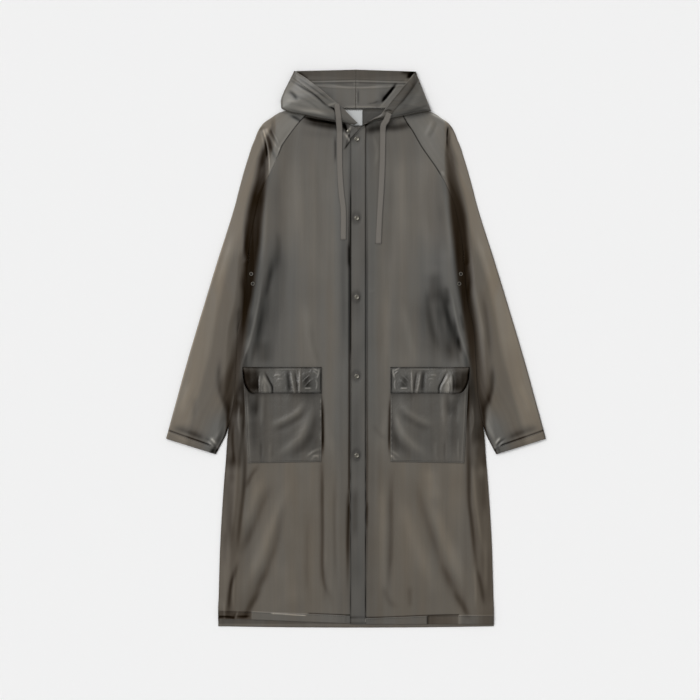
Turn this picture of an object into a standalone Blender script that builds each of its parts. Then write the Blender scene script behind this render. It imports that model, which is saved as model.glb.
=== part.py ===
"""Hooded raincoat of smoke-grey film, snapped shut and laid flat on its back, with its hood spread open.

Lengths are in millimetres until a mesh is made. X runs to the wearer's left, Y up the coat to the hood, and
Z off the surface that it lies on. Every panel is a sheet, worked out on a grid, that Solidify gives a wall.
"""

import math

import bmesh
import bpy
import numpy as np
from mathutils import Vector
from mathutils.bvhtree import BVHTree

MM = 0.001

# Driving dimensions
WALL = 1.2  # film with its seam allowances
GAP = 0.35  # between pieces that touch
HEM_WALL = 2.2  # a turned hem, cuff or casing
BACK_LENGTH_Y = 541.0  # height of the back neck seam over the origin
HEM_Y = -627.0  # lower edge of the back
FRONT_HEM_Y = -617.0  # lower edge of the fronts
HEM_DEPTH = 20.0
FREE_EDGE_X = -13.5  # the overlap's free edge, left of centre
UNDERLAP_X = 22.0  # where the front beneath it ends
PLACKET_WIDTH = 36.0
FRONT_Z = 4.2  # top of a front along the coat's middle
OVERLAP_RISE = 1.55  # what the underlap lifts the overlap by
UNDERARM_Y = 195.0
CUFF_TILT = 35.0  # how much lower a cuff's inner corner is than its outer one
CUFF_WIDTH = 112.0
TUCK_Z = 3.6  # height of a sleeve where the body lies on it
SLEEVE_Z = 6.4  # height of a sleeve along its middle
POCKET_INNER_X, POCKET_OUTER_X = 78.0, 254.0
POCKET_TOP_Y, FLAP_BOTTOM_Y, POCKET_BOTTOM_Y = -41.0, -100.0, -254.0
POCKET_PUFF, POCKET_TAPER = 1.6, 11.0
FLAP_CORNER, FLAP_OVERHANG = 50.0, 0.7
SNAP_X, SNAP_TOP_Y, SNAP_PITCH, SNAP_COUNT = 2.0, 471.0, 177.6, 5
STUD_X, STUD_Y = -17.0, 489.0  # the underlap's neck stud, left open
VENT_AT = ((235.0, 168.0), (231.5, 146.0))  # eyelets under each arm
VENT_RADIUS, VENT_BEAD = 3.6, 1.1
TAPE_WIDTH, TAPE_FALL = 14.0, 0.45  # the fall is its slope where it comes down off the hood
LABEL_WALL, LABEL_LEFT_X, LABEL_RIGHT_X = 1.0, -27.0, 14.5
LABEL_Y = (537.0, 522.0, 508.0, 502.0)
BACK_HEM_WALL = 1.6  # thinner than the fronts' hem, so that they clear it
CREST_RUN = 75.0  # over which a front rises from its middle to its crest
TUCK_CLEAR = 8.0  # how far inside a tucked sleeve the back starts to lift

# Where the body's sides lie, one row for each height, as half widths and heights over the surface
LAY_COLUMNS = ("y", "crest_x", "crest_z", "edge_x", "edge_z", "back_z")
LAY_ROWS = (
    (545, 211, 5.4, 219, 5.2, 0.0),
    (506, 211, 5.8, 219, 5.0, 0.0),
    (488, 207, 6.4, 217, 4.0, 0.0),
    (463, 202, 6.4, 211, 3.4, 0.0),
    (436, 199, 6.4, 209, 3.3, 0.0),
    (413, 199, 6.4, 214, 3.3, 0.0),
    (380, 202, 6.4, 220, 3.3, 0.0),
    (335, 209, 6.4, 227, 3.4, 0.0),
    (278, 216, 6.8, 234, 4.2, 0.8),
    (222, 222, 8.0, 240, 5.8, 2.4),
    (195, 224, 8.9, 242, 6.8, 3.9),
    (110, 233, 8.9, 250, 6.8, 3.9),
    (42, 247, 8.9, 265, 6.8, 3.9),
    (-41, 254, 8.9, 270, 6.8, 3.9),
    (-97, 255, 8.9, 273, 6.8, 3.9),
    (-160, 258, 8.7, 283.5, 6.8, 3.9),
    (-187, 262, 8.0, 288, 5.2, 2.0),
    (-240, 266, 6.6, 292, 3.1, 0.0),
    (-330, 272, 6.2, 299, 3.0, 0.0),
    (-453, 280, 5.8, 306, 3.0, 0.0),
    (-560, 283, 5.6, 309, 3.2, 0.0),
    (-590, 284, 5.6, 310, 4.4, 0.0),
    (-627, 284, 5.6, 310, 4.4, 0.0),
)

# The sleeves, one row for each height: outer fold and raglan seams, as half widths
ARM_COLUMNS = ("y", "outer_x", "seam_right_x", "seam_left_x")
ARM_ROWS = (
    (541, 128, 103, 98),
    (537, 150, 106, 100),
    (531, 172, 110, 103),
    (519, 191, 119, 109),
    (506, 209, 131, 117),
    (488, 221, 145, 129),
    (470, 228, 158, 139),
    (456, 234, 167, 147),
    (431, 242, 177, 164),
    (402, 251, 190, 184),
    (362, 262, 209, 206),
    (323, 272, 222, 222),
    (195, 312, 242, 242),
    (110, 338, 242, 242),
    (-24, 378, 242, 242),
    (-125, 406, 242, 242),
    (-202, 427, 242, 242),
)

# Inner fold of the closed part of a sleeve: it slips under the body below the underarm
TUBE_COLUMNS = ("y", "inner_x", "top_z", "bottom_z")
TUBE_ROWS = (
    (195, 244, 6.8, 3.7),
    (166, 248.5, 3.6, 0.0),
    (138, 236, 3.6, 0.0),
    (110, 226, 3.6, 0.0),
    (42, 232, 3.6, 0.0),
    (-41, 241, 3.6, 0.0),
    (-97, 252, 3.6, 0.0),
    (-140, 271, 3.6, 0.0),
    (-168, 289, 3.6, 0.0),
    (-190, 293, 4.0, 0.0),
    (-216, 304, 4.4, 0.0),
    (-217.5, 304.8, 4.4, 0.0),
    (-237, 315, 4.6, 0.0),
)

# Neck edge of each front, from its free edge to its raglan seam; X is positive away from the coat's middle
NECK_COLUMNS = ("x", "y")
NECK_LEFT_ROWS = ((-13.5, 472), (13.5, 501), (43, 519), (76, 528), (101, 537))
NECK_RIGHT_ROWS = ((-22, 474), (-18, 481), (0, 497), (18, 508), (43, 519), (76, 528), (106, 537))

# Hood halves, from the tip at the front neck to the top of the brim: the inner line runs up the neck seam
# and the centre seam, the fold is the outline, and the brim bounds the mouth
HOOD_COLUMNS = (
    "inner_x", "inner_y", "inner_z", "fold_x", "fold_y", "fold_z", "radius",
    "right_x", "right_y", "right_z", "left_x", "left_y", "left_z",
)
HOOD_ROWS = (
    (26, 513, 7.4, 4, 502, 7.4, 2.2, -4, 506, 13, 21, 504, 13),
    (48, 522, 7.4, 43, 512, 7.4, 3.0, 14, 523, 17, 38, 514, 16),
    (76, 531, 7.4, 82, 518, 7.4, 4.0, 29, 539, 20, 56, 525, 19),
    (108, 540, 7.4, 122, 526, 7.4, 5.0, 45, 551, 23, 65, 537, 22),
    (137, 544.5, 5.5, 152, 532, 7.4, 5.0, 60, 564, 25, 74, 548, 24),
    (97, 542, 0, 168, 541, 5.0, 6.0, 74, 576, 27, 84, 560, 26),
    (48, 541.6, 0, 169, 556, 1.0, 7.0, 88, 587, 27, 94, 572, 26),
    (0, 541.6, 0, 163, 575, 0, 7.0, 101, 597, 25, 104, 585, 24),
    (0, 572, 0, 155, 592, 0, 6.0, 114, 607, 21, 114, 597, 20),
    (0, 600, 0.6, 147, 608, 0.4, 5.0, 127, 616, 16, 124, 610, 15),
    (0, 606.5, 1.2, 143, 615.5, 1.0, 4.4, 132, 619.5, 13.6, 128, 615, 13),
    (0, 627, 5.0, 139, 624, 3.6, 3.0, 137, 622.5, 11.2, 133, 619.5, 11),
)
HOOD_BOTTOM_STEPS = (0.0, 0.14, 0.3, 0.48, 0.66, 0.84)
HOOD_TOP_STEPS = (0.2, 0.45, 0.7, 0.86, 0.88, 1.0)
HOOD_PUFF = 2.5  # crown of a side panel between its fold and the brim
HOOD_TIP_SHIFT = 12.0  # the left half's tip lies further out than the right one's

# Largest folds of the fronts: a soft ridge from one end to the other, or a trough where height is negative
FOLD_COLUMNS = ("x0", "y0", "x1", "y1", "width", "height")
FOLD_ROWS = (
    (-90, -275, -215, -560, 24, 0.9),
    (-215, -535, -262, -600, 9, -1.1),
    (-160, -300, -262, -470, 16, -0.9),
    (-60, 430, -150, 250, 26, 0.6),
    (-240, 150, -150, -10, 20, 0.8),
    (-30, -300, -110, -590, 20, 0.6),
    (85, -280, 190, -560, 24, 0.9),
    (210, -535, 260, -600, 9, -1.1),
    (165, -300, 262, -480, 16, -0.9),
    (70, 420, 165, 240, 26, 0.6),
    (240, 150, 160, -10, 20, 0.8),
    (60, -330, 90, -590, 18, 0.6),
)

# Drawstrings, from the casing's open end to the free end
TAPE_RIGHT = (
    (-43, 547), (-41, 533), (-39, 515), (-37, 490), (-37, 440), (-36, 390), (-33, 350), (-28.5, 310),
    (-28.5, 245),
)
TAPE_LEFT = ((74, 527), (68, 512), (61, 500), (60, 470), (59, 420), (56, 350), (53, 300), (50, 236))

COLOURS = {
    "body": (0.115, 0.105, 0.093, 1.0),
    "sleeve": (0.150, 0.130, 0.105, 1.0),
    "hood": (0.160, 0.148, 0.135, 1.0),
    "pocket": (0.085, 0.078, 0.068, 1.0),
    "tape": (0.130, 0.122, 0.110, 1.0),
    "label": (0.560, 0.570, 0.570, 1.0),
    "snap": (0.090, 0.085, 0.078, 1.0),
}


def columns(names, rows):
    """A table's columns by name, with the rows in rising order of the first one."""
    table = np.array(sorted(rows), float)
    return {name: table[:, i] for i, name in enumerate(names)}


LAY = columns(LAY_COLUMNS, LAY_ROWS)
ARM = columns(ARM_COLUMNS, ARM_ROWS)
TUBE = columns(TUBE_COLUMNS, TUBE_ROWS)


def read(table, name, at):
    """A column between its rows."""
    first = next(iter(table.values()))
    return np.interp(at, first, table[name])


def eased(t):
    """0 to 1 with level ends."""
    t = np.clip(t, 0.0, 1.0)
    return t * t * (3.0 - 2.0 * t)


def folds(x, y):
    """Height that the largest folds add: each is a soft ridge that tapers off at its ends."""
    height = np.zeros(np.broadcast(x, y).shape)
    for row in FOLD_ROWS:
        fold = dict(zip(FOLD_COLUMNS, row))
        run_x, run_y = fold["x1"] - fold["x0"], fold["y1"] - fold["y0"]
        run = np.hypot(run_x, run_y)
        along = ((x - fold["x0"]) * run_x + (y - fold["y0"]) * run_y) / run
        across = ((x - fold["x0"]) * run_y - (y - fold["y0"]) * run_x) / run
        ends = eased(along / (0.3 * run)) * eased((run - along) / (0.3 * run))
        height = height + fold["height"] * ends * np.exp(-((across / fold["width"]) ** 2))
    return height


def front_top(x, y):
    """Upper surface of the front layer: level in the middle, up to the crest, down to the side edge."""
    half = np.abs(x)
    crest_x, crest_z = read(LAY, "crest_x", y), read(LAY, "crest_z", y)
    edge_x, edge_z = read(LAY, "edge_x", y), read(LAY, "edge_z", y)
    inside = FRONT_Z + (crest_z - FRONT_Z) * eased((half - crest_x + CREST_RUN) / CREST_RUN)
    outside = crest_z + (edge_z - crest_z) * eased((half - crest_x) / (edge_x - crest_x))
    fade = eased((crest_x - half) / 12.0)
    return np.where(half < crest_x, inside, outside) + folds(x, y) * fade


def overlap_top(x, y):
    """Upper surface of the wearer's left front, which lies on the underlap near the middle."""
    return front_top(x, y) + OVERLAP_RISE * (1.0 - eased((x - UNDERLAP_X - 4.0) / 40.0))


def front_on(side, x, y):
    return overlap_top(x, y) if side > 0 else front_top(x, y)


def back_bottom(x, y):
    """Underside of the back: on the surface, but lifted where a sleeve's inner fold lies beneath."""
    edge = read(LAY, "edge_x", y)
    tucked = np.where(y > UNDERARM_Y, edge, np.minimum(edge, read(TUBE, "inner_x", y)))
    return read(LAY, "back_z", y) * eased((np.abs(x) - tucked + TUCK_CLEAR + 28.0) / 26.0)


def sleeve_top(x, y):
    """Upper surface of a sleeve below the underarm: pressed flat by the body's edge, then full."""
    out = np.abs(x) - read(LAY, "edge_x", y) - 4.0
    return TUCK_Z + (SLEEVE_Z - TUCK_Z) * eased(out / 20.0)


def seam_x(side, y):
    return read(ARM, "seam_left_x" if side > 0 else "seam_right_x", y)


def material(name):
    made = bpy.data.materials.get(name)
    if made:
        return made
    made = bpy.data.materials.new(name)
    made.use_nodes = True
    shader = made.node_tree.nodes["Principled BSDF"]
    shader.inputs["Base Color"].default_value = COLOURS[name]
    shader.inputs["Metallic"].default_value = 0.6 if name == "snap" else 0.0
    shader.inputs["Roughness"].default_value = 0.8 if name in ("tape", "label") else 0.35
    return made


def finish(name, mesh, finish_name):
    """Puts a mesh in the scene as a named part."""
    made = bpy.data.objects.new(name, mesh)
    mesh.materials.append(material(finish_name))
    PARTS.objects.link(made)
    return made


def grid_mesh(name, grid, turned):
    """A sheet's mesh from its grid of points: rows by columns by three, in millimetres."""
    rows, count = grid.shape[:2]
    shape = bmesh.new()
    points = [[shape.verts.new(Vector(p) * MM) for p in row] for row in grid]
    for i in range(rows - 1):
        for j in range(count - 1):
            corners = [points[i][j], points[i][j + 1], points[i + 1][j + 1], points[i + 1][j]]
            shape.faces.new(corners[::-1] if turned else corners)
    bmesh.ops.remove_doubles(shape, verts=shape.verts, dist=1e-6)
    mesh = bpy.data.meshes.new(name)
    shape.to_mesh(mesh)
    shape.free()
    return mesh


def add_sheet(name, grid, finish_name, turned=False, wall=WALL, hems=None, hem_wall=HEM_WALL):
    """A walled sheet: the grid is its outer face and the wall lies behind it; hems(points) marks its hems."""
    made = finish(name, grid_mesh(name, grid, turned), finish_name)
    thick = made.modifiers.new("wall", "SOLIDIFY")
    thick.offset = -1.0
    thick.use_even_offset = True
    thick.use_quality_normals = True
    thick.thickness = wall * MM
    if hems is not None:
        points = np.array([v.co for v in made.data.vertices]) / MM
        group = made.vertex_groups.new(name="hem")
        group.add([int(i) for i in np.flatnonzero(hems(points))], 1.0, "REPLACE")
        thick.thickness = hem_wall * MM
        thick.vertex_group = "hem"
        thick.thickness_vertex_group = wall / hem_wall
    made.data.shade_smooth()
    return made


def stacked(x, y, z):
    return np.stack(np.broadcast_arrays(x, y, z), axis=-1).astype(float)


def neck_line(rows):
    table = columns(NECK_COLUMNS, rows)
    return lambda x: np.interp(x, table["x"], table["y"])


FRONT_U = np.array([0.0, 0.075, 0.17, 0.3, 0.44, 0.58, 0.7, 0.8, 0.87, 0.915, 0.955, 1.0])
SEAM_Y = (537, 519, 500, 480, 456, 431, 402, 362, 323, 280, 235)  # shared along the raglan seams
SIDE_Y = (195, 166, 138, 110, 60, 10, -41, -97, -140, -168, -190, -240)
FRONT_Y = np.array([*SEAM_Y, *SIDE_Y, -290, -340, -390, -440, -490, -535, -570, -597, -598.5, -617])


def front_grid(side):
    """Rows run from the free edge to the raglan seam or the side; the top rows follow the neck edge."""
    neck = neck_line(NECK_LEFT_ROWS if side > 0 else NECK_RIGHT_ROWS)
    free = FREE_EDGE_X if side > 0 else -UNDERLAP_X
    row_y = FRONT_Y[:, None]
    outer = np.where(row_y > UNDERARM_Y, seam_x(side, row_y), read(LAY, "edge_x", row_y)) - GAP / 2
    x = free + (outer - free) * FRONT_U
    top_x = x[0]
    drop = neck(top_x) - FRONT_Y[0]
    y = row_y + drop * np.clip((row_y - 400.0) / (FRONT_Y[0] - 400.0), 0.0, 1.0)
    return x * side, y


def add_fronts():
    for side, name in ((1, "front_left"), (-1, "front_right")):
        x, y = front_grid(side)
        lapped = side > 0

        def hems(points, lapped=lapped):
            clear = points[:, 0] > UNDERLAP_X + 40.0 if lapped else True
            return (points[:, 1] < FRONT_HEM_Y + HEM_DEPTH - 1.0) & clear

        add_sheet(name, stacked(x, y, front_on(side, x, y)), "body", side > 0, hems=hems)


BACK_U = np.array([-1, -0.96, -0.91, -0.86, -0.79, -0.7, -0.55, -0.35, -0.12,
                   0.12, 0.35, 0.55, 0.7, 0.79, 0.86, 0.91, 0.96, 1])
BACK_Y = np.array([541, *SEAM_Y, *SIDE_Y, -330, -453, -560, -606, -607.5, -627])


def back_seam_x(side, y):
    """The back raglan seam starts nearer the middle than the front one, and meets it at the underarm."""
    return seam_x(side, y) - 20.0 * np.clip((y - UNDERARM_Y) / (BACK_LENGTH_Y - UNDERARM_Y), 0.0, 1.0)


def add_back():
    row_y = BACK_Y[:, None]
    side = np.where(BACK_U < 0, -1, 1)
    seam = np.where(side > 0, back_seam_x(1, row_y), back_seam_x(-1, row_y))
    outer = np.where(row_y > UNDERARM_Y, seam, read(LAY, "edge_x", row_y)) - GAP / 2
    x = outer * BACK_U
    z = back_bottom(x, row_y) + WALL
    y = row_y + 3.0 * (x / 310.0) ** 2 * (row_y < -600)
    hem_line = HEM_Y + HEM_DEPTH + 0.6
    z = z + (BACK_HEM_WALL - WALL) * (y < hem_line)
    grid = stacked(x, y, z)
    add_sheet("back", grid, "body", True, hems=lambda p: p[:, 1] < hem_line, hem_wall=BACK_HEM_WALL)


SLEEVE_TOP_STEPS = np.array([0.0, 0.12, 0.25, 0.37, 0.49, 0.61, 0.74, 0.87, 1.0])
SLEEVE_BOTTOM_STEPS = np.array([1.0, 0.75, 0.5, 0.25, 0.0])
TURN = np.radians([60.0, 0.0, -60.0])  # points round an outer fold, between its top and its bottom


def sleeve_ring(start, end, out, top_of, inner_fold):
    """Points round a sleeve: over the top from start to the outer fold, back along the surface to end."""
    start, end, out = (np.array(p, float) for p in (start, end, out))
    reach = (out - start)[:2] / np.linalg.norm((out - start)[:2])
    radius = 0.5 * top_of(out[0] - 3.0 * np.sign(out[0]), out[1])
    turn_at = out[:2] - reach * radius
    first = start[:2] + reach * (0.5 * inner_fold)
    run = abs(turn_at[0] - first[0])
    covered = (read(LAY, "edge_x", start[1]) + 4.0 - abs(first[0])) / run if inner_fold else 0.25
    steps = np.interp(SLEEVE_TOP_STEPS, [0.0, 0.25, 1.0], [0.0, np.clip(covered, 0.1, 0.6), 1.0])
    top = first + (turn_at - first) * steps[:, None]
    top_z = top_of(top[:, 0], top[:, 1])
    settle = eased(np.linalg.norm(turn_at - top, axis=1) / 22.0)
    top_z = 2.0 * radius + (top_z - 2.0 * radius) * settle
    top_z = top_z + (start[2] - top_z) * (1.0 - eased(np.linalg.norm(top - first, axis=1) / 14.0))
    fold = turn_at + reach * radius * np.cos(TURN)[:, None]
    fold_z = radius + radius * np.sin(TURN)
    low = end[:2] + reach * (0.5 * inner_fold)
    bottom = low + (turn_at - low) * SLEEVE_BOTTOM_STEPS[:, None]
    bottom_z = end[2] * (1.0 - eased(np.linalg.norm(bottom - low, axis=1) / 30.0))
    ring = np.concatenate([
        np.column_stack([top, top_z]), np.column_stack([fold, fold_z]), np.column_stack([bottom, bottom_z]),
    ])
    if inner_fold:
        middle = [*start[:2], 0.5 * (start[2] + end[2])]
        ring = np.vstack([middle, ring, middle])
    else:
        ring = np.vstack([ring[0], ring, ring[-1]])
        ring[1] = 0.8 * ring[0] + 0.2 * ring[2]
        ring[-2] = 0.8 * ring[-1] + 0.2 * ring[-3]
    return ring


def add_sleeves():
    cuff_y, cuff_x = TUBE_ROWS[-2][:2]
    for side, name in ((1, "sleeve_left"), (-1, "sleeve_right")):
        rings = []
        for y in (BACK_LENGTH_Y, *SEAM_Y):
            start_x = seam_x(side, y) + GAP / 2
            end_x = back_seam_x(side, y) + GAP / 2
            start = (side * start_x, y, float(front_top(side * start_x, y)))
            end = (side * end_x, y, float(back_bottom(side * end_x, y)))
            out = (side * float(read(ARM, "outer_x", y)), y, 0.0)
            rings.append(sleeve_ring(start, end, out, front_top, 0.0))
        for y, inner_x, top_z, bottom_z in TUBE_ROWS:
            out_y = y + CUFF_TILT * (UNDERARM_Y - y) / (UNDERARM_Y - TUBE_ROWS[-1][0])
            out = (side * float(read(ARM, "outer_x", out_y)), out_y, 0.0)
            start = (side * inner_x, y, top_z)
            end = (side * inner_x, y, bottom_z)
            rings.append(sleeve_ring(start, end, out, sleeve_top, top_z - bottom_z))

        def hems(points):
            line = cuff_y + 0.1 + (np.abs(points[:, 0]) - cuff_x) * CUFF_TILT / CUFF_WIDTH
            return points[:, 1] < line

        add_sheet(name, np.array(rings), "sleeve", side > 0, hems=hems)


def hood_grid(side):
    """Each row runs out along the surface from the inner line, round the fold and over to the brim."""
    brim = "left" if side > 0 else "right"
    table = {name: np.array([row[i] for row in HOOD_ROWS], float) for i, name in enumerate(HOOD_COLUMNS)}
    grid = []
    for i in range(len(HOOD_ROWS)):
        row = {name: column[i] for name, column in table.items()}
        shift = HOOD_TIP_SHIFT if side > 0 and i == 0 else 0.0
        inner = np.array([row["inner_x"] + 0.5 * shift, row["inner_y"], row["inner_z"]])
        inner[0] += GAP / 2 if row["inner_x"] == 0 else 0.0
        fold = np.array([row["fold_x"] + shift, row["fold_y"]])
        edge = np.array([row[f"{brim}_x"], row[f"{brim}_y"], row[f"{brim}_z"]])
        radius = row["radius"]
        low, high = row["fold_z"], row["fold_z"] + 2.0 * radius
        arrive, leave = fold - inner[:2], edge[:2] - fold
        arrive, leave = arrive / np.linalg.norm(arrive), leave / max(np.linalg.norm(leave), 1e-6)
        near = min(radius, 0.45 * np.linalg.norm(edge[:2] - fold))
        start, stop = fold - arrive * radius, fold + leave * near
        points = []
        for t in HOOD_BOTTOM_STEPS:
            flat = inner[:2] + (start - inner[:2]) * t / HOOD_BOTTOM_STEPS[-1]
            rise = inner[2] + (low - inner[2]) * eased(t / HOOD_BOTTOM_STEPS[-1])
            points.append((*flat, rise))
        points.append((*(fold - arrive * 0.35 * radius), low + 0.3 * radius))
        points.append((*fold, low + radius))
        points.append((*(fold + leave * 0.35 * near), high - 0.3 * radius))
        points.append((*stop, high))
        for t in HOOD_TOP_STEPS:
            flat = stop + (edge[:2] - stop) * t
            rise = high + (edge[2] - high) * t + HOOD_PUFF * math.sin(math.pi * t)
            points.append((*flat, rise))
        grid.append(points)
    grid = np.array(grid)
    grid[:, :, 0] *= side
    return grid


def add_hood():
    """The casing is the brim's turned hem: along both edges of the mouth and across the top."""
    trees = []
    for side, name in ((1, "hood_left"), (-1, "hood_right")):
        grid = hood_grid(side)
        brim = np.concatenate([grid[:, -1], grid[:, -2], grid[-1], grid[-2]])

        def hems(points, brim=brim):
            return np.min(np.linalg.norm(points[:, None] - brim[None], axis=2), axis=1) < 0.01

        made = add_sheet(name, grid, "hood", side > 0, hems=hems)
        trees.append(surface_tree(made))
    return trees


def surface_tree(made):
    return BVHTree.FromPolygons([v.co for v in made.data.vertices], [p.vertices for p in made.data.polygons])


def add_placket():
    """A strip along the overlap's free edge, on the front."""
    u = np.array([0.0, 0.33, 0.67, 1.0])
    x = FREE_EDGE_X + PLACKET_WIDTH * u
    top = neck_line(NECK_LEFT_ROWS)(x) - 0.5
    low = FRONT_Y[FRONT_Y < 470][:, None]
    x, y = np.broadcast_arrays(x, np.vstack([top, np.broadcast_to(low, (len(low), len(u)))]))
    add_sheet("placket", stacked(x, y, overlap_top(x, y) + WALL + GAP), "body", True)


def pocket_top(side, x, y):
    """Upper surface of a pocket: on the front at its edges, puffed between them."""
    across = (np.abs(x) - POCKET_INNER_X) / (POCKET_OUTER_X - POCKET_INNER_X)
    along = (POCKET_TOP_Y - y) / (POCKET_TOP_Y - POCKET_BOTTOM_Y)
    bulge = eased(4.0 * across) * eased(4.0 - 4.0 * across) * eased(3.0 - 3.0 * along) * eased(5.0 * along)
    return front_on(side, x, y) + WALL + GAP + POCKET_PUFF * bulge


def add_pockets():
    """Patch pockets that narrow towards the bottom, and flaps with a round lower corner on the outer side."""
    u = np.array([0.0, 0.08, 0.25, 0.45, 0.65, 0.82, 0.93, 1.0])
    width, top = POCKET_OUTER_X - POCKET_INNER_X, POCKET_TOP_Y - 4.0
    round_corner = 1.0 - np.sqrt(1.0 - np.clip((u - 0.86) / 0.14, 0.0, 1.0) ** 2)
    flap_low = FLAP_BOTTOM_Y + FLAP_CORNER * round_corner
    for side, name in ((1, "left"), (-1, "right")):
        v = np.linspace(0.0, 1.0, 9)[:, None]
        y = top + (POCKET_BOTTOM_Y - 3.0 * u - top) * v
        x = side * (POCKET_INNER_X + (width - POCKET_TAPER * v) * u)
        add_sheet(f"pocket_{name}", stacked(x, y, pocket_top(side, x, y)), "pocket", side > 0)
        v = np.linspace(0.0, 1.0, 5)[:, None]
        y = POCKET_TOP_Y + (flap_low - POCKET_TOP_Y) * v
        x = side * (POCKET_INNER_X + FLAP_OVERHANG * (2.0 * u - 1.0) + width * u)
        x, y = np.broadcast_arrays(x, y)
        z = pocket_top(side, x, y) + WALL + GAP + 0.15
        add_sheet(f"flap_{name}", stacked(x, y, z), "pocket", side > 0)


def add_label():
    """A bare woven label that hangs from the back neck seam, inside."""
    x = np.linspace(LABEL_LEFT_X, LABEL_RIGHT_X, 4)
    y = np.array(LABEL_Y)[:, None]
    add_sheet("neck_label", stacked(x, y, WALL + 2 * GAP + LABEL_WALL), "label", True, wall=LABEL_WALL)


def turned(name, profile, finish_name, steps=14):
    """A solid of revolution. Its profile's radii and heights run from the top down the outer side; one that
    ends where it starts makes a ring."""
    mesh = bpy.data.meshes.new(name)
    closed = profile[0] == profile[-1]
    points = [(r * MM, 0.0, z * MM) for r, z in (profile[:-1] if closed else profile)]
    count = len(points)
    mesh.from_pydata(points, [(i, (i + 1) % count) for i in range(count if closed else count - 1)], [])
    made = finish(name, mesh, finish_name)
    screw = made.modifiers.new("turn", "SCREW")
    screw.steps = screw.render_steps = steps
    screw.use_merge_vertices = True
    screw.merge_threshold = 0.00001
    return made


def seat(made, x, y, surface, lift):
    """Puts a small piece on a surface, square to it."""
    step = 4.0
    slope_x = (float(surface(x + step, y)) - float(surface(x - step, y))) / (2 * step)
    slope_y = (float(surface(x, y + step)) - float(surface(x, y - step))) / (2 * step)
    normal = Vector((-slope_x, -slope_y, 1.0)).normalized()
    made.rotation_mode = "QUATERNION"
    made.rotation_quaternion = Vector((0.0, 0.0, 1.0)).rotation_difference(normal)
    made.location = (Vector((x, y, float(surface(x, y)))) + normal * lift) * MM


def add_snaps():
    cap = ((0, 2.0), (2.4, 1.9), (4.4, 1.5), (5.4, 0.9), (5.75, 0.3), (5.6, 0.0), (0, 0.0))
    for i in range(SNAP_COUNT):
        made = turned(f"snap_{i + 1}", cap, "snap")
        seat(made, SNAP_X, SNAP_TOP_Y - SNAP_PITCH * i, overlap_top, WALL + GAP * 2)
    stud = ((0, 2.2), (1.5, 2.2), (1.9, 1.7), (1.7, 1.1), (3.8, 0.9), (4.2, 0.4), (4.1, 0.0), (0, 0.0))
    seat(turned("neck_stud", stud, "snap", 12), STUD_X, STUD_Y, front_top, GAP)


def add_vents():
    """Two eyelets under each arm, on the slope between the crest and the side edge."""
    bead = [(VENT_RADIUS + VENT_BEAD * math.cos(a), 1.0 - math.sin(a)) for a in np.radians(range(0, 360, 60))]
    for side, word in ((1, "left"), (-1, "right")):
        for i, (x, y) in enumerate(VENT_AT):
            made = turned(f"vent_{word}_{i + 1}", [*bead, bead[0]], "snap", 12)
            seat(made, side * x, y, front_top, GAP * 2)


def smooth_path(points, count):
    """Points spaced evenly along a smooth curve through the given ones."""
    points = np.array(points, float)
    ends = np.vstack([2 * points[0] - points[1], points, 2 * points[-1] - points[-2]])
    fine = []
    for a, b, c, d in zip(ends, ends[1:], ends[2:], ends[3:]):
        t = np.linspace(0.0, 1.0, 20, endpoint=False)[:, None]
        cubic = (2 * a - 5 * b + 4 * c - d) * t**2 + (3 * b - a - 3 * c + d) * t**3
        fine.append(0.5 * (2 * b + (c - a) * t + cubic))
    fine = np.vstack([*fine, points[-1:]])
    along = np.concatenate([[0.0], np.cumsum(np.linalg.norm(np.diff(fine, axis=0), axis=1))])
    at = np.linspace(0.0, along[-1], count)
    return np.stack([np.interp(at, along, fine[:, k]) for k in range(2)], axis=1), at


def add_drawstrings(hoods):
    """Flat tapes that lie on the hood's side panel and then on the front, sloping down between them."""
    for side, name, route, tree in ((1, "left", TAPE_LEFT, hoods[0]), (-1, "right", TAPE_RIGHT, hoods[1])):
        middle, at = smooth_path(route, 26)
        along = np.gradient(middle, axis=0)
        along /= np.linalg.norm(along, axis=1)[:, None]
        across = np.stack([along[:, 1], -along[:, 0]], axis=1) * side
        heights = []
        for x, y in np.vstack([middle + across * TAPE_WIDTH * k for k in (-0.55, 0.0, 0.55)]):
            hit = tree.ray_cast(Vector((x * MM, y * MM, 0.1)), Vector((0, 0, -1)))[0]
            heights.append(max(hit.z / MM if hit else 0.0, float(front_on(side, x, y))))
        held = np.array(heights).reshape(3, -1).max(axis=0)
        held = (held[None, :] - TAPE_FALL * np.abs(at[:, None] - at[None, :])).max(axis=1)
        z = held + WALL + 2 * GAP + 0.4
        offsets = np.array([-0.5, 0.0, 0.5])[None, :, None] * TAPE_WIDTH
        plan = middle[:, None, :] + across[:, None, :] * offsets
        add_sheet(f"drawstring_{name}", np.dstack([plan, np.repeat(z[:, None], 3, axis=1)]), "tape", side < 0)


def clear_scene():
    for item in list(bpy.data.objects):
        bpy.data.objects.remove(item, do_unlink=True)


clear_scene()
PARTS = bpy.data.collections.new("raincoat")
bpy.context.scene.collection.children.link(PARTS)
add_back()
add_fronts()
add_sleeves()
HOOD_TREES = add_hood()
add_placket()
add_pockets()
add_label()
add_snaps()
add_vents()
add_drawstrings(HOOD_TREES)
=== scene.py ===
import math

import bpy
import numpy as np
from mathutils import Matrix, Vector
from mathutils.bvhtree import BVHTree


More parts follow.
